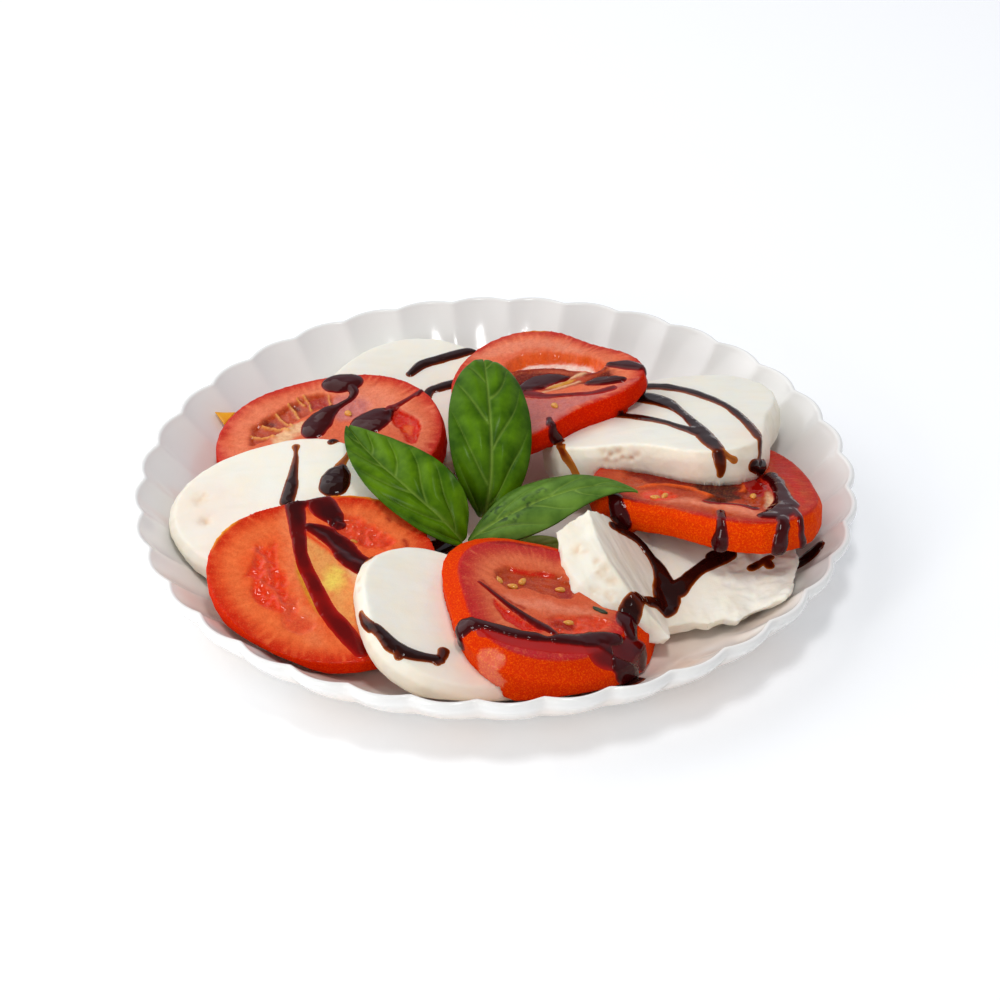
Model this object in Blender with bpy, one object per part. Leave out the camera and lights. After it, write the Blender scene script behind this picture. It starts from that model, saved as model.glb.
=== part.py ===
"""Caprese salad on its fluted porcelain plate.

Five tomato slices and five mozzarella slices lean on each other in a ring, with
basil leaves in the middle. Lengths are millimetres times MM, +Z is up, and the
origin is the middle of the plate's foot, on the table.
"""
import math

import bmesh
import bpy
from mathutils import Vector

MM = 0.001
GAP = 0.35 * MM          # left between pieces that touch

# Plate
FLUTES = 36              # scallops round the rim
STEPS_PER_FLUTE = 4
FIRST_CUSP = 6.85        # degrees, from +X
CUSP_RADIUS = 109 * MM   # rim at the notch between two scallops
SCALLOP = 2.4 * MM       # how far a scallop stands out past the notches
PLATE_HEIGHT = 22 * MM
FLOOR_RADIUS = 85 * MM
FLOOR_HEIGHT = 5 * MM
WALL_CURVE = 1.6         # 1 is a cone, larger curves up more towards the rim
FOOT_OUTER = 66 * MM
FOOT_INNER = 61 * MM
FOOT_HEIGHT = 2 * MM
RIM_THICKNESS = 2.6 * MM

STACK = (                # from the bottom of the pile to its top
    "mozzarella_1", "tomato_1", "mozzarella_2", "tomato_2", "mozzarella_3",
    "tomato_3", "mozzarella_4", "tomato_4", "mozzarella_5", "tomato_5",
)

# Slices. plan: centre seen from above; face: height of the upper face there.
# The face slopes down towards heading (degrees from +X). lobes make the outline
# uneven: (how many round the slice, height, direction of one). rim: share of
# the radius at the upper edge, half way down and at the lower edge. droop: how far
# the face falls off along x. lean: how far the lower face is shifted sideways.
SEGMENTS = 40
CHEESE_RIM = (0.95, 1.02, 0.95)
MOZZARELLA = {
    "mozzarella_1": dict(
        plan=(-24.8, 58.4), face=16.5, slope=4, heading=-90, radius=32.8, thick=10,
        lobes=((2, 0.8, 90), (3, 0.5, -30), (4, 0.4, 0)), rim=CHEESE_RIM),
    "mozzarella_2": dict(
        plan=(-65.3, -11.3), face=22.5, slope=9.5, heading=-121, radius=32.9, thick=9.5,
        lobes=((2, 1.4, 2), (3, 0.9, 48), (4, 0.4, -16)), rim=CHEESE_RIM),
    "mozzarella_3": dict(
        plan=(-12.5, -67.8), face=20.4, slope=14.3, heading=-20, radius=29.3, thick=9.5,
        lobes=((2, 2.1, -56), (3, 1.2, 10), (4, 0.7, 37)), rim=CHEESE_RIM),
    "mozzarella_5": dict(
        plan=(56.2, 25), face=30.5, slope=13.6, heading=110, radius=35.2, thick=13,
        lobes=((2, 2.2, 5), (3, 4.5, 56), (4, 2.0, 27)), rim=(0.97, 1, 0.97), droop=2.5),
}
TOMATO = {
    "tomato_1": dict(
        plan=(-52.1, 23.7), face=23, slope=9.5, heading=-143, radius=34.8, thick=11,
        lobes=((2, 1.4, -15), (3, 1.0, 30), (4, 0.5, -25)), rim=(1, 1.02, 0.96)),
    "tomato_2": dict(
        plan=(-49.7, -49.4), face=22.5, slope=15.4, heading=-66, radius=33.5, thick=7.8,
        lobes=((2, 1.9, 9), (3, 1.3, 57), (4, 0.6, -25)), rim=(1, 0.99, 0.92)),
    "tomato_3": dict(
        plan=(13.8, -64.6), face=24, slope=12.6, heading=-8, radius=30.6, thick=14.4,
        lobes=((2, 1.1, -86), (3, 1.9, 20), (4, 0.8, -45)), rim=(0.86, 1.06, 1.09), lean=(5, 1)),
    "tomato_4": dict(
        plan=(66.4, -7.1), face=27, slope=14, heading=85, radius=35.9, thick=9.8,
        lobes=((2, 3.9, -57), (3, 3.3, -52), (4, 1.5, 20)), rim=(0.95, 1, 0.97)),
    "tomato_5": dict(
        plan=(13.6, 42.6), face=31.5, slope=9.2, heading=166, radius=30.6, thick=7.8,
        lobes=((2, 1.2, 73), (3, 4.1, -4), (4, 1.7, -11)), rim=(1, 1.01, 0.95)),
}

# The torn slice is a slab over a patch: stations from its raised left edge to its
# right end. Each has the upper face's back, middle and front point, then how far
# the lower face lies from them.
TORN_SLICE = (
    ((28, -31, 32.5), (35.5, -56, 26.5), (51.5, -71, 13), (-10, -1.5, -7.5), (-10, -7, -5), (-5, 0, -2.5)),
    ((37, -27, 25.5), (42, -48, 20.5), (51, -67, 12.5), (-3, 0, -9.5), (-3, -2, -9), (-1, 1, -3.5)),
    ((46, -22, 18.5), (48.5, -42, 16.5), (50.5, -63, 12.5), (0, 0, -9.5), (0, 0, -9.5), (0, 2, -5)),
    ((60, -20, 17), (60, -42, 16.5), (63, -62.5, 12), (0, 0, -9.5), (0, 0, -9.5), (0, 2, -4)),
    ((76, -20, 16.5), (76, -40, 17.5), (76, -60.5, 13.5), (0, 0, -9), (0, 0, -9), (-1, 3, -4)),
    ((89, -24, 17.5), (91, -41, 18), (86, -60, 20), (-1, 0, -8), (-2, 0, -7), (-2, 2, -4)),
)
TORN_EDGE = 1.2          # how far the torn front edge wanders, in millimetres

# Leaves. rib: Bezier points of the midrib, from the stalk to the tip. facing: the
# way the upper side looks. widest: where along the rib. blunt: under 1 is rounder.
# cup: how far the margins lie behind the rib.
LEAF_THICKNESS = 0.7 * MM
BASIL = {
    "basil_1": dict(
        rib=((-4.3, -6.7, 12.1), (2.7, -17.9, 33.4), (-2.5, 31.2, 48.2), (-2.6, 35.4, 44.2)),
        facing=(0.1, -0.75, 0.65), half=13, widest=0.49, blunt=0.74, cup=2.7),
    "basil_2": dict(
        rib=((-9.6, -23.6, 15.1), (-17.3, -26.2, 31.1), (-37.9, -4.6, 31.9), (-46, 20, 31.2)),
        facing=(0, -0.2, 1), half=12.1, widest=0.42, blunt=0.9, cup=-4.4),
    "basil_3": dict(
        rib=((-9.1, -22.6, 15), (0.8, -25.6, 26.2), (27.4, -11.2, 34.2), (44.1, -28, 35.7)),
        facing=(0, -0.2, 1), half=10, widest=0.43, blunt=1.3, cup=2),
    "basil_4": dict(
        rib=((1, -21.5, 13), (6, -22.5, 13.6), (14, -23.4, 14.2), (20.5, -24, 14.8)),
        facing=(0, -0.2, 1), half=4.3, widest=0.6, blunt=0.6, cup=0.5),
}


def material(name, colour, roughness):
    """Principled material with a plain colour."""
    made = bpy.data.materials.new(name)
    made.use_nodes = True
    shader = made.node_tree.nodes["Principled BSDF"]
    shader.inputs["Base Color"].default_value = (*colour, 1)
    shader.inputs["Roughness"].default_value = roughness
    return made


def add_object(name, bm, finish=None):
    """Closed mesh object in the scene, shaded smooth with sharp edges kept."""
    bmesh.ops.recalc_face_normals(bm, faces=bm.faces)
    mesh = bpy.data.meshes.new(name)
    bm.to_mesh(mesh)
    bm.free()
    mesh.shade_smooth()
    mesh.set_sharp_from_angle(angle=math.radians(40))
    obj = bpy.data.objects.new(name, mesh)
    if finish:
        mesh.materials.append(finish)
    bpy.context.scene.collection.objects.link(obj)
    return obj


def loft(bm, loops):
    """Join loops of points, first to last, into a closed body with fan ends."""
    rings = [[bm.verts.new(point) for point in loop] for loop in loops]
    for lower, upper in zip(rings, rings[1:]):
        for i in range(len(lower)):
            j = (i + 1) % len(lower)
            bm.faces.new((lower[i], lower[j], upper[j], upper[i]))
    for ring in (rings[0], rings[-1]):
        middle = sum((v.co for v in ring), Vector()) / len(ring)
        hub = bm.verts.new(middle)
        for i in range(len(ring)):
            bm.faces.new((ring[i], ring[(i + 1) % len(ring)], hub))


# ---- plate ----

def scallop_at(angle):
    """0 at a notch of the rim, 1 at the middle of a scallop."""
    pitch = 360 / FLUTES
    across = ((math.degrees(angle) - FIRST_CUSP) / pitch) % 1
    return 1 - (2 * across - 1) ** 2


def plate_loop(radius, height, flute):
    """One turn of the plate; flute is how far the scallops push this level out."""
    count = FLUTES * STEPS_PER_FLUTE
    start = math.radians(FIRST_CUSP)
    loop = []
    for i in range(count):
        angle = start + 2 * math.pi * i / count
        r = radius + flute * scallop_at(angle)
        loop.append(Vector((r * math.cos(angle), r * math.sin(angle), height)))
    return loop


def wall_point(share):
    """Inner wall, from the floor's edge (0) to the rim (1): radius and height."""
    radius = FLOOR_RADIUS + share * (CUSP_RADIUS - 1 * MM - FLOOR_RADIUS)
    height = FLOOR_HEIGHT + share ** WALL_CURVE * (PLATE_HEIGHT - 0.6 * MM - FLOOR_HEIGHT)
    return radius, height


def build_plate():
    inside = [plate_loop(FLOOR_RADIUS * 0.5, FLOOR_HEIGHT, 0)]
    for share in (0, 0.25, 0.5, 0.75, 1):
        radius, height = wall_point(share)
        inside.append(plate_loop(radius, height, SCALLOP * share ** 0.8))
    outside = [
        plate_loop(CUSP_RADIUS + 0.6 * MM, PLATE_HEIGHT, SCALLOP),
        plate_loop(CUSP_RADIUS + 0.9 * MM, PLATE_HEIGHT - RIM_THICKNESS, SCALLOP),
        plate_loop(104.5 * MM, 11.8 * MM, SCALLOP * 0.6),
        plate_loop(95 * MM, 4.6 * MM, SCALLOP * 0.2),
        plate_loop(84 * MM, FOOT_HEIGHT, 0),
        plate_loop(FOOT_OUTER + 1 * MM, FOOT_HEIGHT, 0),
        plate_loop(FOOT_OUTER, 0, 0),
        plate_loop(FOOT_INNER, 0, 0),
        plate_loop(FOOT_INNER - 1 * MM, FOOT_HEIGHT, 0),
    ]
    bm = bmesh.new()
    loft(bm, inside + outside)
    porcelain = material("porcelain", (0.86, 0.85, 0.83), 0.12)
    return add_object("plate", bm, porcelain)


def plate_clearance():
    """Everything below and outside the plate's inner surface, plus the gap."""
    profile = [(0, FLOOR_HEIGHT)]
    profile += [wall_point(share) for share in (0, 0.25, 0.5, 0.75, 1)]
    lifted = [(max(r - GAP, 0), z + GAP) for r, z in profile]
    lifted.append((CUSP_RADIUS + 6 * MM, lifted[-1][1]))
    lifted += [(CUSP_RADIUS + 6 * MM, -2 * MM), (0, -2 * MM)]
    count = 72
    bm = bmesh.new()
    loops = []
    for r, z in lifted[1:-1]:
        turn = (2 * math.pi * i / count for i in range(count))
        loops.append([Vector((r * math.cos(a), r * math.sin(a), z)) for a in turn])
    loft(bm, loops)
    return cutter("plate_clearance", bm)


# ---- slices ----

def outline(spec, angle):
    """Radius of a slice's outline, seen from above."""
    radius = spec["radius"]
    for count, height, direction in spec["lobes"]:
        radius += height * math.cos(count * (angle - math.radians(direction)))
    return radius * MM


def slope_of(spec):
    """Unit normal of the upper face."""
    tilt = math.radians(spec["slope"])
    heading = math.radians(spec["heading"])
    side = math.sin(tilt)
    return Vector((side * math.cos(heading), side * math.sin(heading), math.cos(tilt)))


def face_point(spec, x, y):
    """Point of the upper face above x, y measured from the slice's middle."""
    normal = slope_of(spec)
    droop = spec.get("droop", 0) * (x * x) / MM / 1000
    height = spec["face"] * MM - (normal.x * x + normal.y * y) / normal.z - droop
    return Vector((spec["plan"][0] * MM + x, spec["plan"][1] * MM + y, height))


def slice_loops(spec):
    """Loops of a slice from its upper face down to its lower face."""
    normal = slope_of(spec)
    upper, middle, lower = spec["rim"]
    thick = spec["thick"] * MM
    lean = Vector((*spec.get("lean", (0, 0)), 0)) * MM
    levels = [(upper * 0.5, 0), (upper, 0), (middle, 0.28), (middle, 0.68), (lower, 1), (lower * 0.5, 1)]
    loops = []
    for share, depth in levels:
        loop = []
        for i in range(SEGMENTS):
            angle = 2 * math.pi * i / SEGMENTS
            r = share * outline(spec, angle)
            point = face_point(spec, r * math.cos(angle), r * math.sin(angle))
            loop.append(point + lean * depth - normal * depth * thick)
        loops.append(loop)
    return loops


def cutter(name, bm):
    """Helper solid that only cuts others."""
    obj = add_object(name, bm)
    obj.hide_render = True
    obj.display_type = "WIRE"
    return obj


def cut(obj, tool):
    """Boolean difference, kept as a modifier."""
    modifier = obj.modifiers.new("clear of " + tool.name, "BOOLEAN")
    modifier.operation = "DIFFERENCE"
    modifier.solver = "EXACT"
    modifier.object = tool


def bezier(points, t):
    """Point at t, 0 to 1, of a Bezier curve with any number of control points."""
    points = [Vector(p) for p in points]
    while len(points) > 1:
        points = [a.lerp(b, t) for a, b in zip(points, points[1:])]
    return points[0]


def torn_slab():
    """Slab with an upper and a lower face, closed round its edge."""
    across = 3           # steps between two stations
    along = 5            # steps from back to front
    columns = (len(TORN_SLICE) - 1) * across
    upper, lower = [], []
    for c in range(columns + 1):
        first = min(c // across, len(TORN_SLICE) - 2)
        share = c / across - first
        station = [Vector(a).lerp(Vector(b), share) for a, b in zip(TORN_SLICE[first], TORN_SLICE[first + 1])]
        wander = TORN_EDGE * (math.sin(2.7 * c) + 0.6 * math.sin(4.9 * c + 1))
        station[2].y += wander
        tops, bottoms = [], []
        for r in range(along + 1):
            top = quadratic(station[:3], r / along)
            tops.append(top * MM)
            bottoms.append((top + quadratic(station[3:], r / along)) * MM)
        upper.append(tops)
        lower.append(bottoms)
    bm = bmesh.new()
    closed_patch(bm, upper, lower)
    return bm


def quadratic(three, t):
    """Smooth curve through a first, a middle (t = 0.5) and a last point."""
    first, middle, last = three
    handle = middle * 2 - (first + last) / 2
    return bezier((first, handle, last), t)


def closed_patch(bm, upper, lower):
    """Two grids of points of one size, joined round their edges."""
    columns, rows = len(upper), len(upper[0])
    top = [[bm.verts.new(p) for p in line] for line in upper]
    bottom = [[bm.verts.new(p) for p in line] for line in lower]
    for c in range(columns - 1):
        for r in range(rows - 1):
            bm.faces.new((top[c][r], top[c + 1][r], top[c + 1][r + 1], top[c][r + 1]))
            bm.faces.new((bottom[c][r], bottom[c][r + 1], bottom[c + 1][r + 1], bottom[c + 1][r]))
    edge = [(c, 0) for c in range(columns)]
    edge += [(columns - 1, r) for r in range(1, rows)]
    edge += [(c, rows - 1) for c in range(columns - 2, -1, -1)]
    edge += [(0, r) for r in range(rows - 2, 0, -1)]
    for (c, r), (d, s) in zip(edge, edge[1:] + edge[:1]):
        bm.faces.new((top[c][r], bottom[c][r], bottom[d][s], top[d][s]))


# ---- leaves ----

def build_leaf(name, spec, finish):
    """Thin closed leaf: a grid along the midrib and across it."""
    along, across = 12, 6
    facing = Vector(spec["facing"]).normalized()
    power = math.log(0.5) / math.log(spec["widest"])
    upper, lower = [], []
    for i in range(along + 1):
        t = 0.02 + 0.96 * i / along
        centre = bezier(spec["rib"], t)
        heading = (bezier(spec["rib"], t + 0.01) - bezier(spec["rib"], t - 0.01)).normalized()
        side = heading.cross(facing).normalized()
        normal = side.cross(heading)
        half = spec["half"] * math.sin(math.pi * t ** power) ** spec["blunt"]
        tops, bottoms = [], []
        for j in range(across + 1):
            s = 2 * j / across - 1
            point = (centre + side * (half * s) - normal * (spec["cup"] * s * s * half / spec["half"])) * MM
            tops.append(point + normal * (LEAF_THICKNESS / 2))
            bottoms.append(point - normal * (LEAF_THICKNESS / 2))
        upper.append(tops)
        lower.append(bottoms)
    bm = bmesh.new()
    closed_patch(bm, upper, lower)
    return add_object(name, bm, finish)


def build_leaves():
    green = material("basil", (0.07, 0.22, 0.02), 0.4)
    for name, spec in BASIL.items():
        build_leaf(name, spec, green)


def body_of(name):
    """A slice's mesh before its neighbours shape it."""
    if name == "mozzarella_4":
        return torn_slab()
    spec = MOZZARELLA.get(name) or TOMATO[name]
    bm = bmesh.new()
    loft(bm, slice_loops(spec))
    return bm


def swell(bm, distance):
    """Move every point outward along its normal."""
    bmesh.ops.recalc_face_normals(bm, faces=bm.faces)
    bm.normal_update()
    for vert, normal in [(v, v.normal.copy()) for v in bm.verts]:
        vert.co += normal * distance
    return bm


def box_of(bm):
    """Lowest and highest corner of a mesh."""
    return [[pick(v.co[k] for v in bm.verts) for k in range(3)] for pick in (min, max)]


def build_slices():
    """Lay the slices one after the other; each is shaped by those under it."""
    cheese = material("mozzarella", (0.88, 0.85, 0.76), 0.4)
    flesh = material("tomato", (0.62, 0.07, 0.02), 0.3)
    bowl = plate_clearance()
    laid = []
    for name in STACK:
        bm = body_of(name)
        low, high = box_of(bm)
        obj = add_object(name, bm, flesh if name in TOMATO else cheese)
        cut(obj, bowl)
        for tool, other_low, other_high in laid:
            if all(low[k] < other_high[k] and other_low[k] < high[k] for k in range(3)):
                cut(obj, tool)
        swollen = swell(body_of(name), GAP)
        box = box_of(swollen)
        laid.append((cutter(name + "_clearance", swollen), *box))


def main():
    for obj in list(bpy.data.objects):
        bpy.data.objects.remove(obj, do_unlink=True)
    build_plate()
    build_slices()
    build_leaves()


main()
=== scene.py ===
# Caprese salad on its fluted plate: the finish of every slice, leaf and drop.
# Lengths in the dictionaries are millimetres, places are measured from the plate's middle.
import math
from types import SimpleNamespace

import bmesh
import bpy
import numpy as np
from mathutils import Euler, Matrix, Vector
from mathutils.bvhtree import BVHTree


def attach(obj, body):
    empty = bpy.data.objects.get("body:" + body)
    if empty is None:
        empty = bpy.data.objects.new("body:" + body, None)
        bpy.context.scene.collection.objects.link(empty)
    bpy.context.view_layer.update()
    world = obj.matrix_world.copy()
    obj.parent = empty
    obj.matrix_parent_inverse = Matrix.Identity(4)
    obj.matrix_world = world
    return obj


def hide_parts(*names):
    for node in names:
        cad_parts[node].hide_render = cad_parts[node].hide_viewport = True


mm = 0.001

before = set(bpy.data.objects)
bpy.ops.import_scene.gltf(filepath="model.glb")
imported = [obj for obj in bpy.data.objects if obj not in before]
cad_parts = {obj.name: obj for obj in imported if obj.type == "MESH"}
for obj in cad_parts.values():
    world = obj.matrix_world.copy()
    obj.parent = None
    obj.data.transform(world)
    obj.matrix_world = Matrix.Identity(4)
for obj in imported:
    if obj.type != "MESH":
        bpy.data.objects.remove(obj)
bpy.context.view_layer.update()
print("frame loaded:", len(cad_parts), "solids")


studio = {
    "cameraPlace": (0, -806.3, 571.0),
    "cameraTurn": (55.405, 0.876, -0.723),    # degrees
    "lens": 112.955,
    "topPlace": (60, -220, 1120),             # soft box above, a little to the front
    "topSize": (170, 270),
    "topPower": 3.3,
    "keyPlace": (-920, 540, 900),             # large soft light at the left back
    "keySize": (1500, 1500),
    "keyPower": 9.5,
    "keyColour": (1, 0.99, 0.97),
    "sidePlace": (-760, -860, 300),           # strip at the left front, for long highlights
    "sideSize": (190, 700),
    "sidePower": 4.6,
    "backLow": (0.42, 0.44, 0.48),            # sky behind the dish, near the table
    "backHigh": (0.66, 0.69, 0.78),           # sky behind the dish, half way up
    "frontLow": (0.48, 0.48, 0.48),
    "overhead": (0.30, 0.30, 0.305),
    "lowToHigh": (0.15, 0.4),                 # share of the way up where low turns to high
    "frontToBack": (-0.3, 0.4),
    "highToOverhead": (0.68, 0.82),
    "floorSize": 6000,
    "floorColour": (0.93, 0.945, 0.965),
    "floorGlow": 0.14,
}


def addCamera():
    lens = bpy.data.cameras.new("camera")
    lens.lens = studio["lens"]
    lens.sensor_width = 36
    camera = bpy.data.objects.new("camera", lens)
    camera.location = Vector(studio["cameraPlace"]) * mm
    camera.rotation_euler = Euler([math.radians(a) for a in studio["cameraTurn"]])
    bpy.context.scene.collection.objects.link(camera)
    bpy.context.scene.camera = camera


def addSoftBox(name, colour=(1, 1, 1)):
    place, size = studio[name + "Place"], studio[name + "Size"]
    light = bpy.data.lights.new(name + "Box", "AREA")
    light.shape = "RECTANGLE"
    light.size = size[0] * mm
    light.size_y = size[1] * mm
    light.energy = studio[name + "Power"]
    light.color = colour
    box = bpy.data.objects.new(name + "Box", light)
    box.location = Vector(place) * mm
    box.rotation_euler = (-Vector(place)).to_track_quat("-Z", "Y").to_euler()
    bpy.context.scene.collection.objects.link(box)


# Brightest behind the dish at half height, dimmer in front, dimmest overhead
def addSky():
    world = bpy.data.worlds.new("studio")
    world.use_nodes = True
    bpy.context.scene.world = world
    tree = world.node_tree
    place = addNode(tree, "ShaderNodeTexCoord").outputs["Generated"]
    split = addNode(tree, "ShaderNodeSeparateXYZ", {0: place})
    rise = ranged(tree, split.outputs["Z"], *studio["lowToHigh"])
    back = blendColour(tree, rise, studio["backLow"], studio["backHigh"])
    behind = ranged(tree, split.outputs["Y"], *studio["frontToBack"])
    around = blendColour(tree, behind, studio["frontLow"], back)
    above = ranged(tree, split.outputs["Z"], *studio["highToOverhead"])
    sky = blendColour(tree, above, around, studio["overhead"])
    tree.links.new(sky, tree.nodes["Background"].inputs["Color"])


def addFloor():
    half = studio["floorSize"] * mm / 2
    corners = [(-half, -half, 0), (half, -half, 0), (half, half, 0), (-half, half, 0)]
    mesh = bpy.data.meshes.new("floor")
    mesh.from_pydata(corners, [], [(0, 1, 2, 3)])
    paper = startMaterial("whitePaper", Base_Color=(*studio["floorColour"], 1), Roughness=0.9,
                          Specular_IOR_Level=0.1, Emission_Color=(1, 1, 1, 1),
                          Emission_Strength=studio["floorGlow"])[0]
    mesh.materials.append(paper)
    floor = bpy.data.objects.new("floor", mesh)
    bpy.context.scene.collection.objects.link(floor)


def smoothStep(value, low, high):
    share = np.clip((value - low) / (high - low), 0, 1)
    return share * share * (3 - 2 * share)


# Everyday colour, 0 to 255, in Blender's linear values
def rgb(*levels):
    return tuple(level / 3295 if level < 10.3 else ((level / 255 + 0.055) / 1.055) ** 2.4 for level in levels)


def blended(colours, other, share):
    return colours + (np.asarray(other) - colours) * np.clip(share, 0, 1)[:, None]


cellPrimes = np.array([73856093, 19349663, 83492791])    # scatter the noise's cells


# Smooth noise from -1 to 1 with lumps of that size
def noiseAt(points, size, seed=0):
    place = points / size + seed * 17.31
    cell = np.floor(place).astype(np.int64)
    part = place - cell
    part = part * part * (3 - 2 * part)
    total = np.zeros(len(place))
    for corner in range(8):
        step = np.array([corner & 1, corner >> 1 & 1, corner >> 2 & 1])
        mixed = (cell + step) @ cellPrimes
        mixed = (mixed ^ (mixed >> 13)) * 1274126177 & 0x7FFFFFFF
        weight = np.prod(np.where(step, part, 1 - part), axis=1)
        total += (mixed % 10007) / 10007 * weight
    return total * 2 - 1


# Three layers of noise, each half the size and half the strength of the last
def roughNoise(points, size, seed=0):
    return (noiseAt(points, size, seed) + 0.5 * noiseAt(points, size / 2, seed + 1)
            + 0.25 * noiseAt(points, size / 4, seed + 2)) / 1.75


# Curve through the points, which may carry extra numbers such as a width
def smoothLine(points, closed=False, steps=8):
    points = np.array(points, float)
    if closed:
        padded = np.vstack([points[-1], points, points[0], points[1]])
    else:
        padded = np.vstack([2 * points[0] - points[1], points, 2 * points[-1] - points[-2]])
    t = np.arange(steps)[:, None] / steps
    pieces = []
    for i in range(len(padded) - 3):
        a, b, c, d = padded[i:i + 4]
        pieces.append(0.5 * (2 * b + (c - a) * t + (2 * a - 5 * b + 4 * c - d) * t ** 2
                             + (3 * b - a - 3 * c + d) * t ** 3))
    if not closed:
        pieces.append(points[-1:])
    return np.vstack(pieces)


# Offset of each point from the nearest place on a straight span
def fromSpan(points, start, end):
    along = end - start
    offset = points - start
    share = np.clip(offset @ along / max(along @ along, 1e-9), 0, 1)
    return offset - share[:, None] * along


# How far inside a closed outline each flat point lies; outside is negative
def insideBy(points, outline):
    ring = smoothLine(outline, closed=True, steps=5)
    nearest = np.full(len(points), 1e9)
    crossings = np.zeros(len(points), int)
    for start, end in zip(ring, np.roll(ring, -1, axis=0)):
        nearest = np.minimum(nearest, np.hypot(*fromSpan(points, start, end).T))
        spans = (start[1] > points[:, 1]) != (end[1] > points[:, 1])
        with np.errstate(divide="ignore", invalid="ignore"):
            cross = start[0] + (points[:, 1] - start[1]) / (end[1] - start[1]) * (end[0] - start[0])
        crossings += spans & (points[:, 0] < cross)
    return np.where(crossings % 2 == 1, nearest, -nearest)


# Distance of each point to a line
def nearLine(points, line):
    curve = smoothLine(line, steps=5)
    nearest = np.full(len(points), 1e9)
    for start, end in zip(curve[:-1], curve[1:]):
        nearest = np.minimum(nearest, np.linalg.norm(fromSpan(points, start, end), axis=1))
    return nearest


# Strongest of several soft round spots (x, y, size, strength) at each point
def spotsAt(points, spots):
    strongest = np.zeros(len(points))
    for x, y, size, strength in spots:
        distance = np.hypot(points[:, 0] - x, points[:, 1] - y) / size
        strongest = np.maximum(strongest, strength * np.exp(-distance ** 2))
    return strongest


def pointsOf(mesh):
    flat = np.empty(len(mesh.vertices) * 3)
    mesh.vertices.foreach_get("co", flat)
    return flat.reshape(-1, 3) / mm


def normalsOf(mesh):
    flat = np.empty(len(mesh.vertices) * 3)
    mesh.vertex_normals.foreach_get("vector", flat)
    return flat.reshape(-1, 3)


def movePoints(mesh, points):
    mesh.vertices.foreach_set("co", (points * mm).ravel())
    mesh.update()


def paint(mesh, name, values):
    layer = mesh.attributes.new(name, "FLOAT", "POINT")
    layer.data.foreach_set("value", np.asarray(values, np.float32))


def paintColour(mesh, name, values):
    layer = mesh.color_attributes.new(name, "FLOAT_COLOR", "POINT")
    opaque = np.hstack([values, np.ones((len(values), 1))])
    layer.data.foreach_set("color", opaque.astype(np.float32).ravel())


# Object for a finished mesh, riding on the plate's body
def addPiece(name, mesh, material, slotName, *replaced):
    mesh.shade_smooth()
    mesh.materials.clear()
    mesh.materials.append(material)
    piece = bpy.data.objects.new(name, mesh)
    bpy.context.scene.collection.objects.link(piece)
    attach(piece, "root")
    if replaced:
        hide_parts(*replaced)
    return piece


def meshOf(made, name):
    mesh = bpy.data.meshes.new(name)
    made.to_mesh(mesh)
    made.free()
    return mesh


# The same, with its faces turned outward
def outward(made, name):
    bmesh.ops.recalc_face_normals(made, faces=made.faces)
    return meshOf(made, name)


# Closed mesh from points in millimetres, its faces turned outward
def closedMesh(name, points, faces):
    mesh = bpy.data.meshes.new(name)
    mesh.from_pydata((points * mm).tolist(), [], faces)
    made = bmesh.new()
    made.from_mesh(mesh)
    bpy.data.meshes.remove(mesh)
    return outward(made, name)


# Mesh that an object's modifiers leave; the object itself is removed
def applied(work):
    bpy.context.scene.collection.objects.link(work)
    deps = bpy.context.evaluated_depsgraph_get()
    mesh = bpy.data.meshes.new_from_object(work.evaluated_get(deps))
    bpy.data.objects.remove(work)
    return mesh


# Fewer faces where the mesh is flat, first among the points listed
def thinned(mesh, share, points):
    work = bpy.data.objects.new("work", mesh)
    group = work.vertex_groups.new(name="first")
    group.add([int(i) for i in points], 1.0, "REPLACE")
    fewer = work.modifiers.new("fewer", "DECIMATE")
    fewer.ratio = share
    fewer.vertex_group = "first"
    fewer.vertex_group_factor = 1.0
    return applied(work)


underside = {
    "facing": -0.4,            # points whose normal dips below this belong to it
    "dropped": 0.88,           # share of its faces that are left out
}


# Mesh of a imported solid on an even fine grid, with softened edges and a coarser underside
def refined(node, voxel, rounds):
    work = bpy.data.objects.new("work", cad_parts[node].data.copy())
    grid = work.modifiers.new("grid", "REMESH")
    grid.mode = "VOXEL"
    grid.voxel_size = voxel * mm
    soften = work.modifiers.new("soften", "SMOOTH")
    soften.factor = 0.5
    soften.iterations = rounds
    mesh = applied(work)
    below = normalsOf(mesh)[:, 2] < underside["facing"]
    return thinned(mesh, 1 - underside["dropped"] * below.mean(), np.flatnonzero(below))


# One search tree over several meshes
def searchTree(meshes):
    corners, faces = [], []
    for mesh in meshes:
        shift = len(corners)
        corners += pointsOf(mesh).tolist()
        faces += [tuple(v + shift for v in p.vertices) for p in mesh.polygons]
    return BVHTree.FromPolygons(corners, faces)


stackOrder = ["mozzarella_1", "tomato_1", "mozzarella_2", "tomato_2", "mozzarella_3",
              "tomato_3", "mozzarella_4", "tomato_4", "mozzarella_5", "tomato_5"]


# Press a slice's underside a little into the slices it lies on, so that no gap shows
def settle(node, mesh, reach=1.1, press=0.45):
    lower = stackOrder[:stackOrder.index(node)]
    if not lower:
        return
    ground = searchTree([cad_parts[name].data for name in lower])
    points, normals = pointsOf(mesh), normalsOf(mesh)
    for i, (point, normal) in enumerate(zip(points, normals)):
        if normal[2] > 0.3:
            continue
        hit, _, _, distance = ground.find_nearest(Vector(point), reach)
        if hit is None:
            continue
        away = np.array(hit) - point
        if away @ normal > 0.3 * distance:
            points[i] = point + away + away / max(distance, 1e-6) * press
    movePoints(mesh, points)


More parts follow.
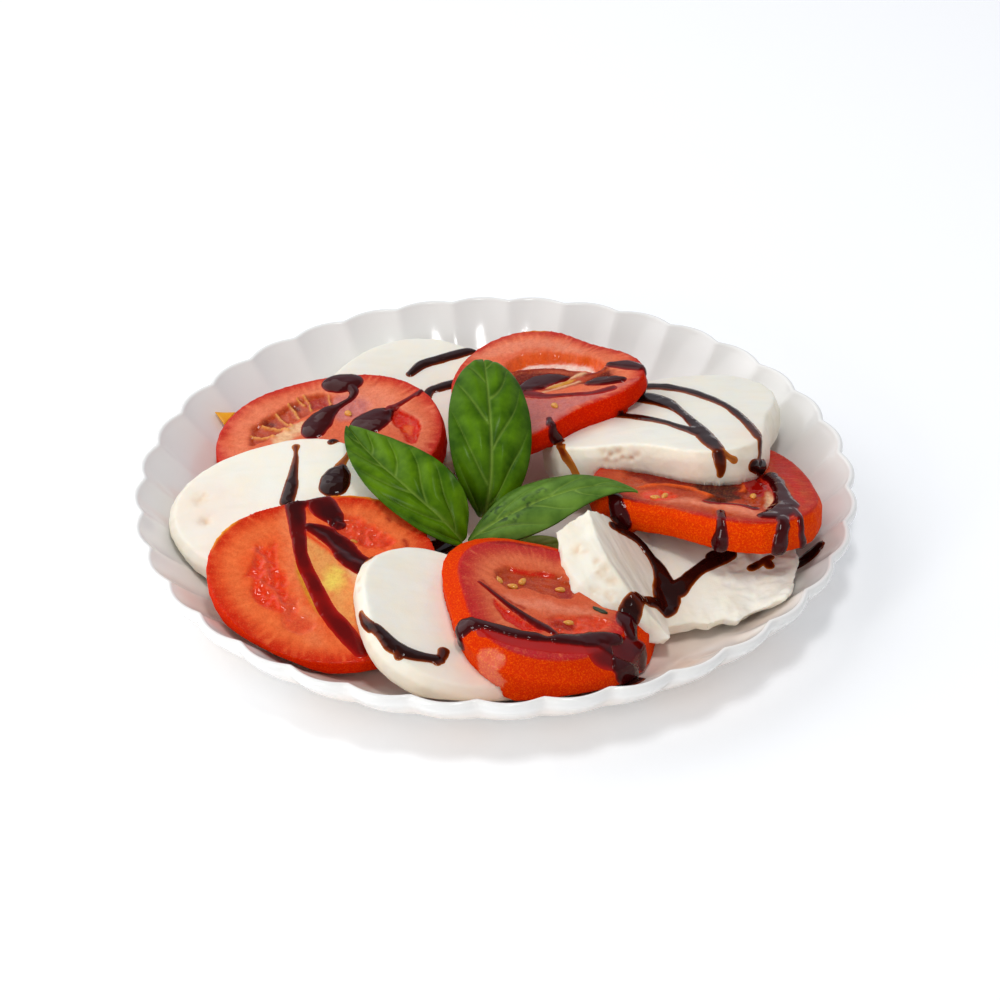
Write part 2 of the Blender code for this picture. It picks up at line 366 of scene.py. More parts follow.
# Slide a thin edge into one neighbour, whichever way it faces, so that their line of contact is clean
def tuckInto(mesh, neighbour, reach=1.7, press=1.0):
    ground = searchTree([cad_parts[neighbour].data])
    points = pointsOf(mesh)
    for i, point in enumerate(points):
        hit, outside, _, distance = ground.find_nearest(Vector(point), reach)
        if hit is None:
            continue
        pull = 1 - distance / reach
        points[i] = point - np.array(outside) * (distance + press) * min(1, 2.2 * pull)
    movePoints(mesh, points)


# Cut face of a slice: middle, normal and the radius of its edge by angle
def faceOf(node):
    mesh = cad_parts[node].data
    centres = np.array([p.center for p in mesh.polygons]) / mm
    normals = np.array([p.normal for p in mesh.polygons])
    areas = np.array([p.area for p in mesh.polygons])
    upward = normals[:, 2] > 0.88
    normal = (normals[upward] * areas[upward, None]).sum(0)
    normal /= np.linalg.norm(normal)
    top = (normals @ normal > 0.985) & upward
    normal = (normals[top] * areas[top, None]).sum(0)
    normal /= np.linalg.norm(normal)
    middle = (centres[top] * areas[top, None]).sum(0) / areas[top].sum()
    used = sorted({v for p, keep in zip(mesh.polygons, top) if keep for v in p.vertices})
    offset = np.array([mesh.vertices[v].co for v in used])[:, :2] / mm - middle[:2]
    reach = np.hypot(*offset.T)
    turn = np.arctan2(offset[:, 1], offset[:, 0])
    outer = reach > 0.72 * reach.max()
    order = np.argsort(turn[outer])
    return SimpleNamespace(middle=middle, normal=normal, turns=turn[outer][order],
                           reaches=reach[outer][order])


# Link a socket to another one, or give it a plain value
def feed(tree, socket, value):
    if isinstance(value, bpy.types.NodeSocket):
        tree.links.new(value, socket)
    else:
        socket.default_value = value


def addNode(tree, kind, inputs=None, **settings):
    made = tree.nodes.new(kind)
    for name, value in settings.items():
        setattr(made, name, value)
    for key, value in (inputs or {}).items():
        feed(tree, made.inputs[key], value)
    return made


def blendColour(tree, factor, first, second, mode="MIX"):
    first, second = [(*c, 1) if isinstance(c, tuple) else c for c in (first, second)]
    made = addNode(tree, "ShaderNodeMix", data_type="RGBA", blend_type=mode)
    for index, value in ((0, factor), (6, first), (7, second)):
        feed(tree, made.inputs[index], value)
    return made.outputs[2]


def calc(tree, operation, first, second=0.0, third=0.0):
    made = addNode(tree, "ShaderNodeMath", {0: first, 1: second, 2: third}, operation=operation)
    return made.outputs[0]


def times(tree, first, second):
    return calc(tree, "MULTIPLY", first, second)


def clamped(tree, value):
    return calc(tree, "MINIMUM", calc(tree, "MAXIMUM", value, 0.0), 1.0)


def mask(tree, name):
    return addNode(tree, "ShaderNodeAttribute", attribute_name=name).outputs["Fac"]


def ranged(tree, value, low, high, start=0.0, end=1.0):
    made = addNode(tree, "ShaderNodeMapRange", {"Value": value, "From Min": low, "From Max": high,
                                                "To Min": start, "To Max": end})
    return made.outputs[0]


# Node group: cloudy patches with fine speckles over them, from 0 to 1
def makeMottle():
    group = bpy.data.node_groups.new("mottle", "ShaderNodeTree")
    starts = {"Cloud Size": 5.0, "Speckle Size": 0.8, "Speckle Share": 0.3, "Contrast": 1.0}
    for name, value in starts.items():
        socket = group.interface.new_socket(name, in_out="INPUT", socket_type="NodeSocketFloat")
        socket.default_value = value
    group.interface.new_socket("Value", in_out="OUTPUT", socket_type="NodeSocketFloat")
    source = addNode(group, "NodeGroupInput")
    place = addNode(group, "ShaderNodeTexCoord").outputs["Object"]
    layers = []
    for name in ("Cloud Size", "Speckle Size"):
        scale = calc(group, "DIVIDE", 1 / mm, source.outputs[name])
        noise = addNode(group, "ShaderNodeTexNoise", {"Vector": place, "Scale": scale, "Detail": 3.0})
        layers.append(noise.outputs["Fac"])
    both = addNode(group, "ShaderNodeMix", {0: source.outputs["Speckle Share"], 2: layers[0], 3: layers[1]})
    raised = calc(group, "SUBTRACT", both.outputs[0], 0.5)
    scaled = calc(group, "MULTIPLY_ADD", raised, source.outputs["Contrast"], 0.5)
    sink = addNode(group, "NodeGroupOutput")
    group.links.new(scaled, sink.inputs["Value"])
    return group


mottleGroup = makeMottle()


def mottle(tree, cloud, speckle, share, contrast):
    values = {"Cloud Size": cloud, "Speckle Size": speckle, "Speckle Share": share, "Contrast": contrast}
    made = addNode(tree, "ShaderNodeGroup", values, node_tree=mottleGroup)
    return clamped(tree, made.outputs["Value"])


# Material with a Principled shader; settings are the shader's constant sockets
def startMaterial(name, **settings):
    made = bpy.data.materials.new(name)
    made.use_nodes = True
    shader = made.node_tree.nodes["Principled BSDF"]
    for key, value in settings.items():
        shader.inputs[key.replace("_", " ")].default_value = value
    return made, made.node_tree, shader


def relief(tree, shader, height, distance, strength):
    values = {"Height": height, "Distance": distance * mm, "Strength": strength}
    bump = addNode(tree, "ShaderNodeBump", values)
    tree.links.new(bump.outputs["Normal"], shader.inputs["Normal"])


# Material of a small thing, mottled with two colours
def speckledMaterial(name, colours, sizes, contrast, **settings):
    made, tree, shader = startMaterial(name, **settings)
    fine = mottle(tree, *sizes, 0.5, contrast)
    tree.links.new(blendColour(tree, fine, *colours), shader.inputs["Base Color"])
    return made


bpy.context.scene.view_settings.view_transform = "Standard"
addCamera()
addSoftBox("top")
addSoftBox("key", studio["keyColour"])
addSoftBox("side")
addSky()
addFloor()
print("studio ready")


plate = {
    "flutes": 36,
    "perFlute": 14,
    "firstCusp": 6.85,         # degrees from +X to the first notch of the rim
    "cuspRadius": 109,
    "scallop": 2.4,            # how far the rim swells out between two notches
    "floorRadius": 85,
    "floorHeight": 5,
    "underside": 2,
    "wallCurve": 1.6,
    "height": 22,
    # over the lip: out from the notches' radius, up from the rim's height
    "lip": [(-0.7, -0.25), (-0.1, 0), (0.6, -0.2), (1, -1.1), (0.7, -3)],
    # down the outside: radius, height, share of the scallop
    "outside": [(107.8, 16, 0.85), (104.5, 11.8, 0.6), (100, 8, 0.4), (95, 4.6, 0.2), (89.5, 2.7, 0.05),
                (84, 2, 0)],
    # foot ring: radius, height
    "foot": [(75, 2), (67.3, 2), (66.4, 1.4), (66, 0.4), (65.4, 0), (63.5, 0), (61.6, 0), (61, 0.4),
             (60.6, 1.4), (59.7, 2)],
    "glaze": (0.875, 0.875, 0.86),
    "cloud": (0.85, 0.84, 0.815),
    "juice": (0.90, 0.62, 0.44),
    # round the tomato slices and in smudges: x, y, size, strength
    "juiceSpots": [
        (-88, 35, 10, 0.25), (-96, 5, 8, 0.2), (-78, -52, 20, 0.5), (-45, -83, 20, 0.55),
        (-10, -95, 20, 0.6), (20, -92, 24, 0.5), (55, -72, 22, 0.75), (78, -60, 14, 0.5),
        (97, -30, 10, 0.3), (30, 10, 25, 0.5), (-10, -10, 25, 0.6), (-88, 50, 7, 0.25)],
}


# Radius, height and flute of each level, from the middle of the inside to the middle of the underside
def plateProfile():
    radius, low, full = plate["floorRadius"], plate["floorHeight"], plate["scallop"]
    cusp, top = plate["cuspRadius"], plate["height"]
    levels = [(r, low, 0) for r in np.linspace(1, radius - 3, 14)]
    for share in np.linspace(0, 1, 30):
        height = low + share ** plate["wallCurve"] * (top - 0.7 - low)
        levels.append((radius + share * (cusp - 1 - radius), height, full * share ** 0.8))
    outer = [(cusp + out, top + up, full) for out, up in plate["lip"]]
    outer += [(r, height, full * share) for r, height, share in plate["outside"]]
    levels += smoothLine(outer, steps=4).tolist()
    levels += [(r, height, 0) for r, height in plate["foot"]]
    return levels + [(r, plate["underside"], 0) for r in np.linspace(50, 1, 6)]


def buildPlate():
    count = plate["flutes"] * plate["perFlute"]
    across = (np.arange(count) / plate["perFlute"]) % 1
    fromCusp = np.minimum(across, 1 - across)
    softened = np.sqrt(fromCusp ** 2 + 0.035 ** 2)
    lobe = 1 - (1 - 2 * softened) ** 2
    turn = math.radians(plate["firstCusp"]) + 2 * math.pi * np.arange(count) / count
    rows = []
    for radius, height, flute in plateProfile():
        reach = radius + flute * lobe
        rows.append(np.stack([reach * np.cos(turn), reach * np.sin(turn), np.full(count, height)], axis=1))
    points = np.vstack(rows + [[(0, 0, plate["floorHeight"])], [(0, 0, plate["underside"])]])
    faces = []
    last = (len(rows) - 1) * count
    for near in range(0, last, count):
        far = near + count
        for i in range(count):
            j = (i + 1) % count
            faces.append((near + i, near + j, far + j, far + i))
    for i in range(count):
        j = (i + 1) % count
        faces.append((i, len(points) - 2, j))
        faces.append((last + j, len(points) - 1, last + i))
    return closedMesh("plate", points, faces)


# Juice on the inside of the porcelain
def stainPlate(mesh):
    points = pointsOf(mesh)
    reach = np.hypot(*points[:, :2].T)
    wet = spotsAt(points, plate["juiceSpots"])
    wet *= 0.75 + 0.5 * roughNoise(points, 9, 3)
    wet *= smoothStep(points[:, 2], 1.8, 4.8) * smoothStep(reach, 112, 106)
    paint(mesh, "juice", np.clip(wet, 0, 1))


def porcelain():
    made, tree, shader = startMaterial("porcelain", Roughness=0.1, IOR=1.5)
    patches = mottle(tree, 14, 2, 0.2, 1.2)
    body = blendColour(tree, patches, plate["glaze"], plate["cloud"])
    tinted = blendColour(tree, mask(tree, "juice"), body, plate["juice"])
    tree.links.new(tinted, shader.inputs["Base Color"])
    tree.links.new(ranged(tree, patches, 0, 1, 0.10, 0.18), shader.inputs["Roughness"])
    relief(tree, shader, patches, 0.05, 0.4)
    return made


plateMesh = buildPlate()
stainPlate(plateMesh)
platePiece = addPiece("porcelainPlate", plateMesh, porcelain(), "porcelain", "plate")
print("plate built")


tomatoLook = {
    "voxel": 0.52,
    "rounds": 3,
    # pinkish-white of the painted sheen on the skin
    "paintedSheenColour": rgb(236, 128, 104),
    # yellow of the painted highlight along the lip
    "glint": rgb(240, 168, 40),
    "pit": (0.80, 0.55, 0.5),         # darkens the flesh
    "grainOfFlesh": (0.88, 0.30, 0.09),
    "speckle": (1.25, 3.4, 1.2),      # lightens the skin
    # Kinds of places on a cut face: colour, wetness, height of its lumps and softness of its edge
    "kinds": {
        "torn": (rgb(230, 50, 6), 0.8, 0.62, 1.6),
        "membrane": (rgb(228, 82, 46), 0.8, 0.30, 2.0),
        "placenta": (rgb(232, 158, 88), 0.6, 0.05, 2.0),
        "core": (rgb(240, 212, 96), 0.6, 0.05, 3.2),
        "yellow": (rgb(214, 150, 36), 0.8, 0.05, 0.5),
        "pinkGel": (rgb(226, 66, 32), 0.75, 0.80, 1.4),
        "darkGel": (rgb(104, 18, 6), 0.3, 0.10, 1.5),
        "brownGel": (rgb(178, 58, 14), 0.8, 0.20, 1.0),
        "mauveGel": (rgb(166, 34, 18), 0.8, 0.25, 1.0),
        "red": (rgb(212, 26, 6), 0.6, 0.25, 0.6),
        # deep: dark red, partly the flesh's own dark juice and partly painted shade where pieces above
        # overhang the slice
        "deep": (rgb(120, 8, 2), 0.12, 0.03, 2.4),
        "apricot": (rgb(240, 126, 76), 0.35, 0.10, 3.0),
        "syrup": (rgb(62, 6, 3), 0.35, 0.02, 1.2),
        "orange": (rgb(232, 92, 20), 0.9, 0.10, 0.8),
        "cream": (rgb(236, 192, 146), 0.6, 0.10, 1.6),
        "pale": (rgb(230, 132, 100), 0.5, 0.10, 3.0),
        "mauve": (rgb(196, 110, 104), 0.8, 0.15, 2.4),
        "crimson": (rgb(190, 32, 40), 0.4, 0.05, 2.0),
        "scarlet": (rgb(196, 26, 18), 0.4, 0.05, 2.0),
        "rib": (rgb(238, 172, 84), 0.8, 0, 0.5),
        "milk": (rgb(248, 226, 214), 0.5, 0.02, 0.7),
        "brick": (rgb(170, 44, 26), 0.6, 0.10, 2.0),
    },
}
# wall: how a point faces where skin ends and flesh begins; rimWidth: red band inside the face's edge
# places of painted pinkish-white sheen on the skin: (x, y, z, size, strength); glints: stretches of the lip
# painted with a yellow highlight, in degrees
# patches: (kind, depth, outline in plan offsets from the slice's middle)
# threads: (kind, width, height, path); seeds: (x, y, degrees)
tomatoSlices = {
    "tomato_1": {
        "flesh": rgb(214, 78, 44), "pale": rgb(232, 136, 98), "rim": rgb(196, 30, 24),
        "skin": rgb(190, 20, 4), "wall": (0.3, 0.6), "rimWidth": 5.2, "paintedSheenSpots": [], "glints": [],
        "patches": [
            ("pale", 0, [(-4, 14), (4, 24), (14, 24), (24, 14), (30, 2), (20, 2), (10, 8)]),
            ("mauve", 0.2, [(1, 22), (9, 20), (13, 15), (10, 9), (3, 9), (-1, 15)]),
            ("brownGel", 1.3, [
                (-26, 3), (-25, 11), (-22, 15), (-17, 19), (-13, 22), (-8, 24), (-3, 24), (1, 22),
                (0, 18), (-6, 15), (-11, 12), (-15, 8), (-20, 4)]),
            ("mauveGel", 1.4, [(-8, 22), (-3, 23), (0, 21), (-2, 18), (-7, 18)]),
            ("cream", 0, [(-19, 3), (-14, 9), (-8, 11), (-2, 15), (-1, 11), (-8, 6), (-14, 1)]),
            ("red", 1.8, [(19, 10), (22, 12), (26, 8), (29, 2), (28, -7), (25, -6), (23, 0), (20, 4)]),
            ("orange", 0.8, [(23, 4), (26, 4), (26, 0), (24, 0)]),
        ],
        "threads": [
            ("rib", 0.36, 1.0, [(-18, 17), (-15, 13), (-12, 9)]),
            ("rib", 0.34, 1.0, [(-14, 21), (-12, 18), (-10, 14)]), ("rib", 0.28, 0.9, [(-9, 24), (-6, 17)]),
            ("rib", 0.26, 0.9, [(-1, 23), (0, 18)]), ("rib", 0.45, 1.1, [(-22, 12), (-18, 10), (-13, 7)]),
            ("rib", 0.4, 1.0, [(-25, 8), (-18, 5)]), ("rib", 0.28, 0.8, [(-11, 23), (-9, 20)]),
            ("darkGel", 1.2, -0.2, [(-21, 14), (-19, 13)]), ("darkGel", 1.0, -0.2, [(-12, 20), (-11, 19)]),
        ],
        "seeds": [(6, 12, 20)],
    },
    "tomato_2": {
        "flesh": rgb(234, 76, 28), "pale": rgb(238, 124, 68), "rim": rgb(206, 28, 5),
        "skin": rgb(222, 36, 2), "wall": (0.3, 0.6), "rimWidth": 6.6, "paintedSheenSpots": [],
        "glints": [(62, 100), (142, 172)],
        "patches": [
            ("apricot", 0, [
                (-15, 24), (-9, 22), (-8, 8), (-6, -8), (0, -24), (-6, -24), (-11, -6), (-14, 8)]),
            ("torn", 0.6, [
                (-22, 10), (-19, 9), (-16, 11), (-15, 4), (-12, -1), (-12, -7), (-10, -11), (-9, -16),
                (-14, -15), (-20, -13), (-23, -9), (-23, -3), (-25, -2), (-23, 4)]),
            ("membrane", 0.5, [(-12, -8), (-9, -9), (-8, -14), (-3, -19), (-9, -22), (-14, -17)]),
            ("placenta", 0, [
                (-8, 17), (-3, 14), (1, 10), (5, 4), (8, -1), (9, -9), (8, -18), (3, -13), (-1, -6),
                (-5, 1), (-8, 8)]),
            ("core", 0, [(-2, 2), (1, 4), (5, 1), (5, -3), (1, -5), (-2, -3)]),
            ("pinkGel", 1.2, [
                (0, 20), (2, 24), (8, 24), (14, 20), (20, 16), (17, 12), (11, 12), (7, 14), (2, 17)]),
            ("darkGel", 0.6, [(-6, 19), (-2, 19), (1, 17), (5, 14), (9, 10), (12, 5), (7, 7), (1, 12)]),
        ],
        "threads": [
            ("yellow", 0.9, -0.2, [(-8, 8), (-9, 2), (-6, -6), (-2, -14)]),
            # painted highlights: two yellow lines along the lip
            ("yellow", 0.6, 0, [(-35, 9), (-32, 15), (-28, 19)]),
            ("yellow", 0.6, 0, [(6, 32), (14, 31), (21, 28), (27, 22)]),
            ("membrane", 1.0, 0.7, [(-22, 8), (-19, 4), (-18, -2)]),
            ("membrane", 0.9, 0.5, [(-20, -4), (-16, -7), (-14, -12)]),
            ("brick", 0.8, 0, [(17, 24), (18, 23)]), ("brick", 0.8, 0, [(22, 16), (23, 14)]),
            ("cream", 1.4, 0, [(6, 5), (9, -2), (10, -8)]),
            ("torn", 0.8, 0.2, [(-7, 16), (-3, 12), (2, 8), (6, 5)]),
        ],
        "seeds": [(7, 15, 80)],
    },
    "tomato_3": {
        "flesh": rgb(208, 72, 38), "pale": rgb(226, 122, 80), "rim": rgb(188, 22, 34),
        "skin": rgb(212, 46, 1), "wall": (0.3, 0.6), "rimWidth": 9.5,
        # painted highlight: pinkish-white sheen spots on the left front of the skin
        "paintedSheenSpots": [
            (-2.2, -92.5, 22.5, 4.4, 0.6), (-1.8, -92.5, 18, 5, 0.65), (-1.2, -92, 13.5, 4, 0.55),
            (0.4, -93, 25, 1.7, 0.9)],
        "glints": [],
        "patches": [
            ("pale", 0, [(-14, -1), (0, 0), (12, -1), (16, -4), (4, -6), (-8, -5)]),
            ("crimson", 0, [
                (-17, -19), (-8, -23), (6, -24), (18, -20), (24, -24), (14, -32), (-4, -34), (-20, -28)]),
            ("brownGel", 1.2, [
                (-15, 9), (-12, 12), (-9, 13), (-4, 12), (3, 13), (8, 11), (11, 8), (9, 3), (6, 2),
                (0, 3), (-4, 4), (-9, 3), (-12, 4)]),
            ("red", 1.4, [(-9, 13), (-4, 12.5), (3, 13), (3, 11.6), (-4, 11), (-9, 11.5)]),
            ("mauveGel", 1.2, [(3, 8), (7, 9), (9, 4), (5, 3)]),
            ("red", 0.7, [
                (-15, -3), (-11, -6.5), (-6, -10.5), (-1, -14), (-1, -16), (-6, -16), (-11, -12.5),
                (-14, -8)]),
            ("pinkGel", 1.1, [
                (0, -9), (3, -7), (8, -6.5), (14, -4), (20, -7), (16, -11), (10, -14), (4, -15),
                (1, -12)]),
            ("mauveGel", 1.2, [(2, -9), (8, -8), (9, -12), (4, -13)]),
            ("deep", 0.3, [(-17, 23), (-8, 24), (6, 25), (12, 24), (8, 27), (-8, 27), (-16, 25)]),
        ],
        "threads": [("brick", 0.8, 0.1, [(-18, 4), (-12, -2), (-6, -6)])],
        "seeds": [(-13, 7, 30), (-6, 8, 10), (-9, 5, 100), (5, 7, 80), (7, -9, 60)],
    },
    "tomato_4": {
        "flesh": rgb(160, 28, 8), "pale": rgb(204, 88, 46), "rim": rgb(184, 28, 18),
        "skin": rgb(216, 50, 1), "wall": (0.3, 0.6), "rimWidth": 5.2, "paintedSheenSpots": [], "glints": [],
        "patches": [
            ("pale", 0, [(-21, -17), (-10, -22), (1, -28), (12, -34), (12, -28), (4, -22), (-10, -17)]),
            # dark red under the cheese above: partly juice, partly painted shade
            ("deep", 0.3, [
                (-26, 6), (-22, -3), (-14, -8), (-8, -12), (-3, -13), (6, -18), (14, -12), (16, -3),
                (14, 10), (-10, 9)]),
            ("syrup", 0.2, [
                (-6, -6), (-1, -4), (4, -3), (8, -8), (7, -13), (9, -17), (4, -21), (0, -23), (-4, -20),
                (-1, -15), (-5, -11)]),
            ("brownGel", 0.5, [(-27, 0), (-22, 0), (-20, -7), (-25, -8)]),
            ("pinkGel", 0.3, [(-22, -13), (-16, -10), (-11, -15), (-14, -19), (-20, -19)]),
            ("red", 0.8, [(11, 6), (17, 6), (20, -7), (19, -14), (15, -7)]),
            ("brownGel", 0.8, [(9, -15), (13, -10), (16, -15), (14, -23), (10, -24)]),
            # painted highlight: a cream-white spot beside the brown gel
            ("cream", 0.6, [(16, -13), (18, -16), (19, -23), (15, -28), (15, -22)]),
            ("scarlet", 0, [(20, 22), (25, 16), (27, 0), (27, -20), (24, -25), (23, -8), (20, 8)]),
        ],
        "threads": [
            ("orange", 1.2, 0.4, [(-22, -8), (-14, -6), (-7, -9), (-2, -15)]),
            ("red", 1.2, 0.4, [(-14, 2), (-4, -1), (4, 1)]),
            ("orange", 0.8, 0.3, [(6, 4), (10, -4), (9, -11)]),
        ],
        "seeds": [(-15, -15, 15), (12, -15, 60), (-18, -17, 70)],
    },
    "tomato_5": {
        "flesh": rgb(220, 82, 48), "pale": rgb(232, 136, 96), "rim": rgb(190, 30, 26),
        "skin": rgb(208, 26, 0), "wall": (0.66, 0.86), "rimWidth": 5.2, "paintedSheenSpots": [], "glints": [(78, 100)],
        "patches": [
            ("pale", 0, [(-22, 20), (-10, 28), (6, 26), (18, 15), (14, 13), (2, 21), (-8, 20)]),
            ("mauve", 0.2, [
                (-12, -6), (0, -10), (10, -12), (24, -10), (34, -8), (12, -20), (0, -30), (-14, -28)]),
            ("orange", 3.4, [
                (-10, 12), (-6, 17), (0, 19), (8, 17.5), (14, 13.5), (20, 9), (23, 4), (20, 0), (13, 3),
                (6, 6), (-1, 8), (-8, 8)]),
            ("milk", 3.4, [
                (-8, 11), (-5, 14.5), (0, 16.2), (8, 14.8), (14, 11), (19, 6.5), (20, 2), (13, 4),
                (6, 7), (-1, 8.5), (-7, 9)]),
            ("darkGel", 0.4, [
                (-12, 5), (-6, 7), (2, 5.5), (9, 3), (17, -1.5), (24, 0), (24, -6), (14, -6), (4, -4),
                (-6, -2)]),
            ("brownGel", 0.4, [(0, -5), (6, -3), (12, 0), (18, 1), (23, 0), (17, -4), (12, -6), (6, -8)]),
            ("yellow", 0.2, [(3, -5), (9, -2.5), (13, -2.5), (9, -5), (5, -6)]),
        ],
        "threads": [
            ("deep", 0.8, 0.3, [(-8, 8), (-2, 6.8), (3, 6), (9, 4), (17, -1), (23, 1)]),
            ("cream", 0.6, 0.3, [(4, -5), (10, -2), (16, 0)]),
            ("cream", 0.5, 0.2, [(2, -8), (8, -6), (14, -4)]),
        ],
        "seeds": [(6, -17, 30)],
    },
}


# Where each point of a slice lies on its cut face, and the noise that colours it
def readCut(points, normals, face):
    offset = points - face.middle
    turn = np.arctan2(offset[:, 1], offset[:, 0])
    edge = np.interp(turn, face.turns, face.reaches, period=2 * math.pi) - np.hypot(*offset[:, :2].T)
    depth, facing = -(offset @ face.normal), normals @ face.normal
    polar = np.stack([turn * 14, np.clip(edge, 0, 40) * 0.16, np.zeros(len(turn))], axis=1)
    warp = np.stack([roughNoise(points, 5, 71), roughNoise(points, 5, 75)], axis=1)
    warp += 0.5 * np.stack([noiseAt(points, 1.6, 78), noiseAt(points, 1.6, 79)], axis=1)
    return SimpleNamespace(
        plan=offset[:, :2],                         # offsets from the face's middle
        edge=edge,                                  # distance in from the face's edge
        depth=depth,
        facing=facing,                              # 1 where a point faces as the cut does
        degrees=np.degrees(turn),
        upper=smoothStep(facing, 0.35, 0.75) * (depth < 5) * smoothStep(edge, -0.5, 0.6),
        warp=warp,                                  # makes outlines uneven
        grain=0.5 + 0.5 * noiseAt(polar, 0.5, 11),  # fine rays from the middle
        broad=0.5 + 0.5 * noiseAt(polar, 1.7, 13),
        clouds=0.5 + 0.5 * roughNoise(points, 6, 5),
        fine=0.5 + 0.5 * roughNoise(points, 1.5, 6))


# Flesh with pale clouds and a light band, redder towards the rim
def fleshColour(look, cut):
    pale = look["pale"]
    cloudy = 0.15 + 0.45 * cut.clouds * (0.5 + cut.fine)
    colour = blended(np.tile(look["flesh"], (len(cut.edge), 1)), pale, cloudy)
    lightBand = np.exp(-((cut.edge - 7 - 2 * cut.broad) / 3.2) ** 2)
    colour = blended(colour, pale, 0.45 * lightBand * (0.5 + cut.grain))
    ragged = cut.edge + 1.6 * (cut.broad - 0.5) + 2.2 * (cut.grain - 0.5)
    nearRim = 1 - smoothStep(ragged, 0.4, look["rimWidth"])
    return blended(colour, look["rim"], 0.92 * nearRim)


# Gel, hollows and other flesh, laid one over the other
def layPatches(look, cut, colour):
    sunk, lumps, wet = np.zeros(len(cut.edge)), np.zeros(len(cut.edge)), 0.3 * cut.upper
    for kind, drop, outline in look["patches"]:
        tint, damp, lump, soft = tomatoLook["kinds"][kind]
        inside = insideBy(cut.plan + cut.warp * (0.9 if drop else 2.2), outline)
        share = smoothStep(inside, -soft * 0.6, soft) * cut.upper
        shown = share * (0.72 + 0.28 * smoothStep(cut.fine + 0.4 * cut.clouds, 0.35, 0.8))
        colour = blended(colour, tint, shown)
        wet = np.maximum(wet, damp * share)
        floor = smoothStep(inside, -0.4, 0.9 + 0.45 * drop) * drop * cut.upper
        sunk = np.where(share > 0.5, np.maximum(sunk * (drop > 0), floor), np.maximum(sunk, floor))
        lumps = np.maximum(lumps, lump * share)
    return colour, wet, sunk, lumps


# Ribs, veins and edges of hollows, drawn along their paths
def layThreads(look, cut, colour):
    raised = np.zeros(len(cut.edge))
    for kind, width, height, path in look["threads"]:
        distance = nearLine(cut.plan + cut.warp * 0.7, path) / width
        share = np.exp(-distance ** 2) * np.maximum(cut.upper, cut.edge > -1) * (cut.facing > 0)
        colour = blended(colour, tomatoLook["kinds"][kind][0], 0.9 * share)
        raised += height * share * cut.upper
    return colour, raised


# Share of skin at each point, 1 round the wall
def skinShare(look, cut):
    side = (1 - smoothStep(cut.facing, *look["wall"])) * smoothStep(cut.edge, 6, 3)
    side = np.maximum(side, 1 - smoothStep(cut.facing, 0.45, 0.62))
    return np.maximum(side, smoothStep(-cut.edge, 0.0, 0.5)) * (cut.facing > -0.85)


# Colour of the skin with its painted pinkish-white sheen spots, and how strong that painted sheen is at each
# point
def skinColour(look, cut, points):
    skinTint = blended(np.tile(look["skin"], (len(points), 1)), look["rim"], 0.1 * (1 - cut.clouds))
    paintedSheen = np.zeros(len(points))
    for x, y, z, size, strength in look["paintedSheenSpots"]:
        distance = np.linalg.norm(points - (x, y, z), axis=1) / size * (1 + 0.5 * (cut.fine - 0.5))
        paintedSheen = np.maximum(paintedSheen, smoothStep(distance, 1.1, 0.7) * strength * (0.5 + 0.7 * cut.clouds))
    return blended(skinTint, tomatoLook["paintedSheenColour"], 1.25 * paintedSheen), paintedSheen


# Seed chambers, threads and grain on the cut face, skin round the side
def carveTomato(name, look):
    face = faceOf(name)
    mesh = refined(name, tomatoLook["voxel"], tomatoLook["rounds"])
    settle(name, mesh)
    points, normals = pointsOf(mesh), normalsOf(mesh)
    cut = readCut(points, normals, face)
    colour, wet, sunk, lumps = layPatches(look, cut, fleshColour(look, cut))
    hairs = 0.4 * smoothStep(cut.grain, 0.6, 0.95) * smoothStep(cut.edge, 10, 4) * (cut.edge > 0.8)
    colour = blended(colour, look["pale"], hairs) * (0.91 + 0.18 * cut.grain)[:, None]
    colour, raised = layThreads(look, cut, colour)
    ridges = 1 - 2 * np.abs(noiseAt(points, 2.6, 4))
    bumps = lumps * (0.7 * ridges + 0.5 * noiseAt(points, 1.2, 6))
    fibres = 0.10 * noiseAt(points, 4, 7) + 0.05 * (cut.grain - 0.5)
    lift = 0.35 * noiseAt(points, 14, 2) + fibres * cut.upper - sunk + raised + bumps
    wall = 0.15 * noiseAt(points, 6, 8) * (1 - cut.upper)
    movePoints(mesh, points + face.normal * (lift * cut.upper)[:, None] + normals * wall[:, None])
    side = skinShare(look, cut)
    skinTint, paintedSheen = skinColour(look, cut, points)
    colour = blended(colour, skinTint, side)
    # painted highlight: yellow along stretches of the lip
    for start, end in look["glints"]:
        along = smoothStep(cut.degrees, start, start + 8) * smoothStep(cut.degrees, end, end - 8)
        lip = np.exp(-((cut.edge - 0.1) / 0.8) ** 2) * smoothStep(cut.depth, 1.6, 0.5)
        colour = blended(colour, tomatoLook["glint"], along * lip * (0.4 + cut.fine))
    paintColour(mesh, "tint", colour)
    # Where the painted sheen lies, the skin mask fades and the place is made wet
    paint(mesh, "skin", side * np.clip(1 - 1.5 * paintedSheen, 0, 1))
    paint(mesh, "wet", np.clip(np.maximum(wet * (1 - side), 0.8 * paintedSheen), 0, 1))
    paint(mesh, "grain", cut.grain)
    return mesh


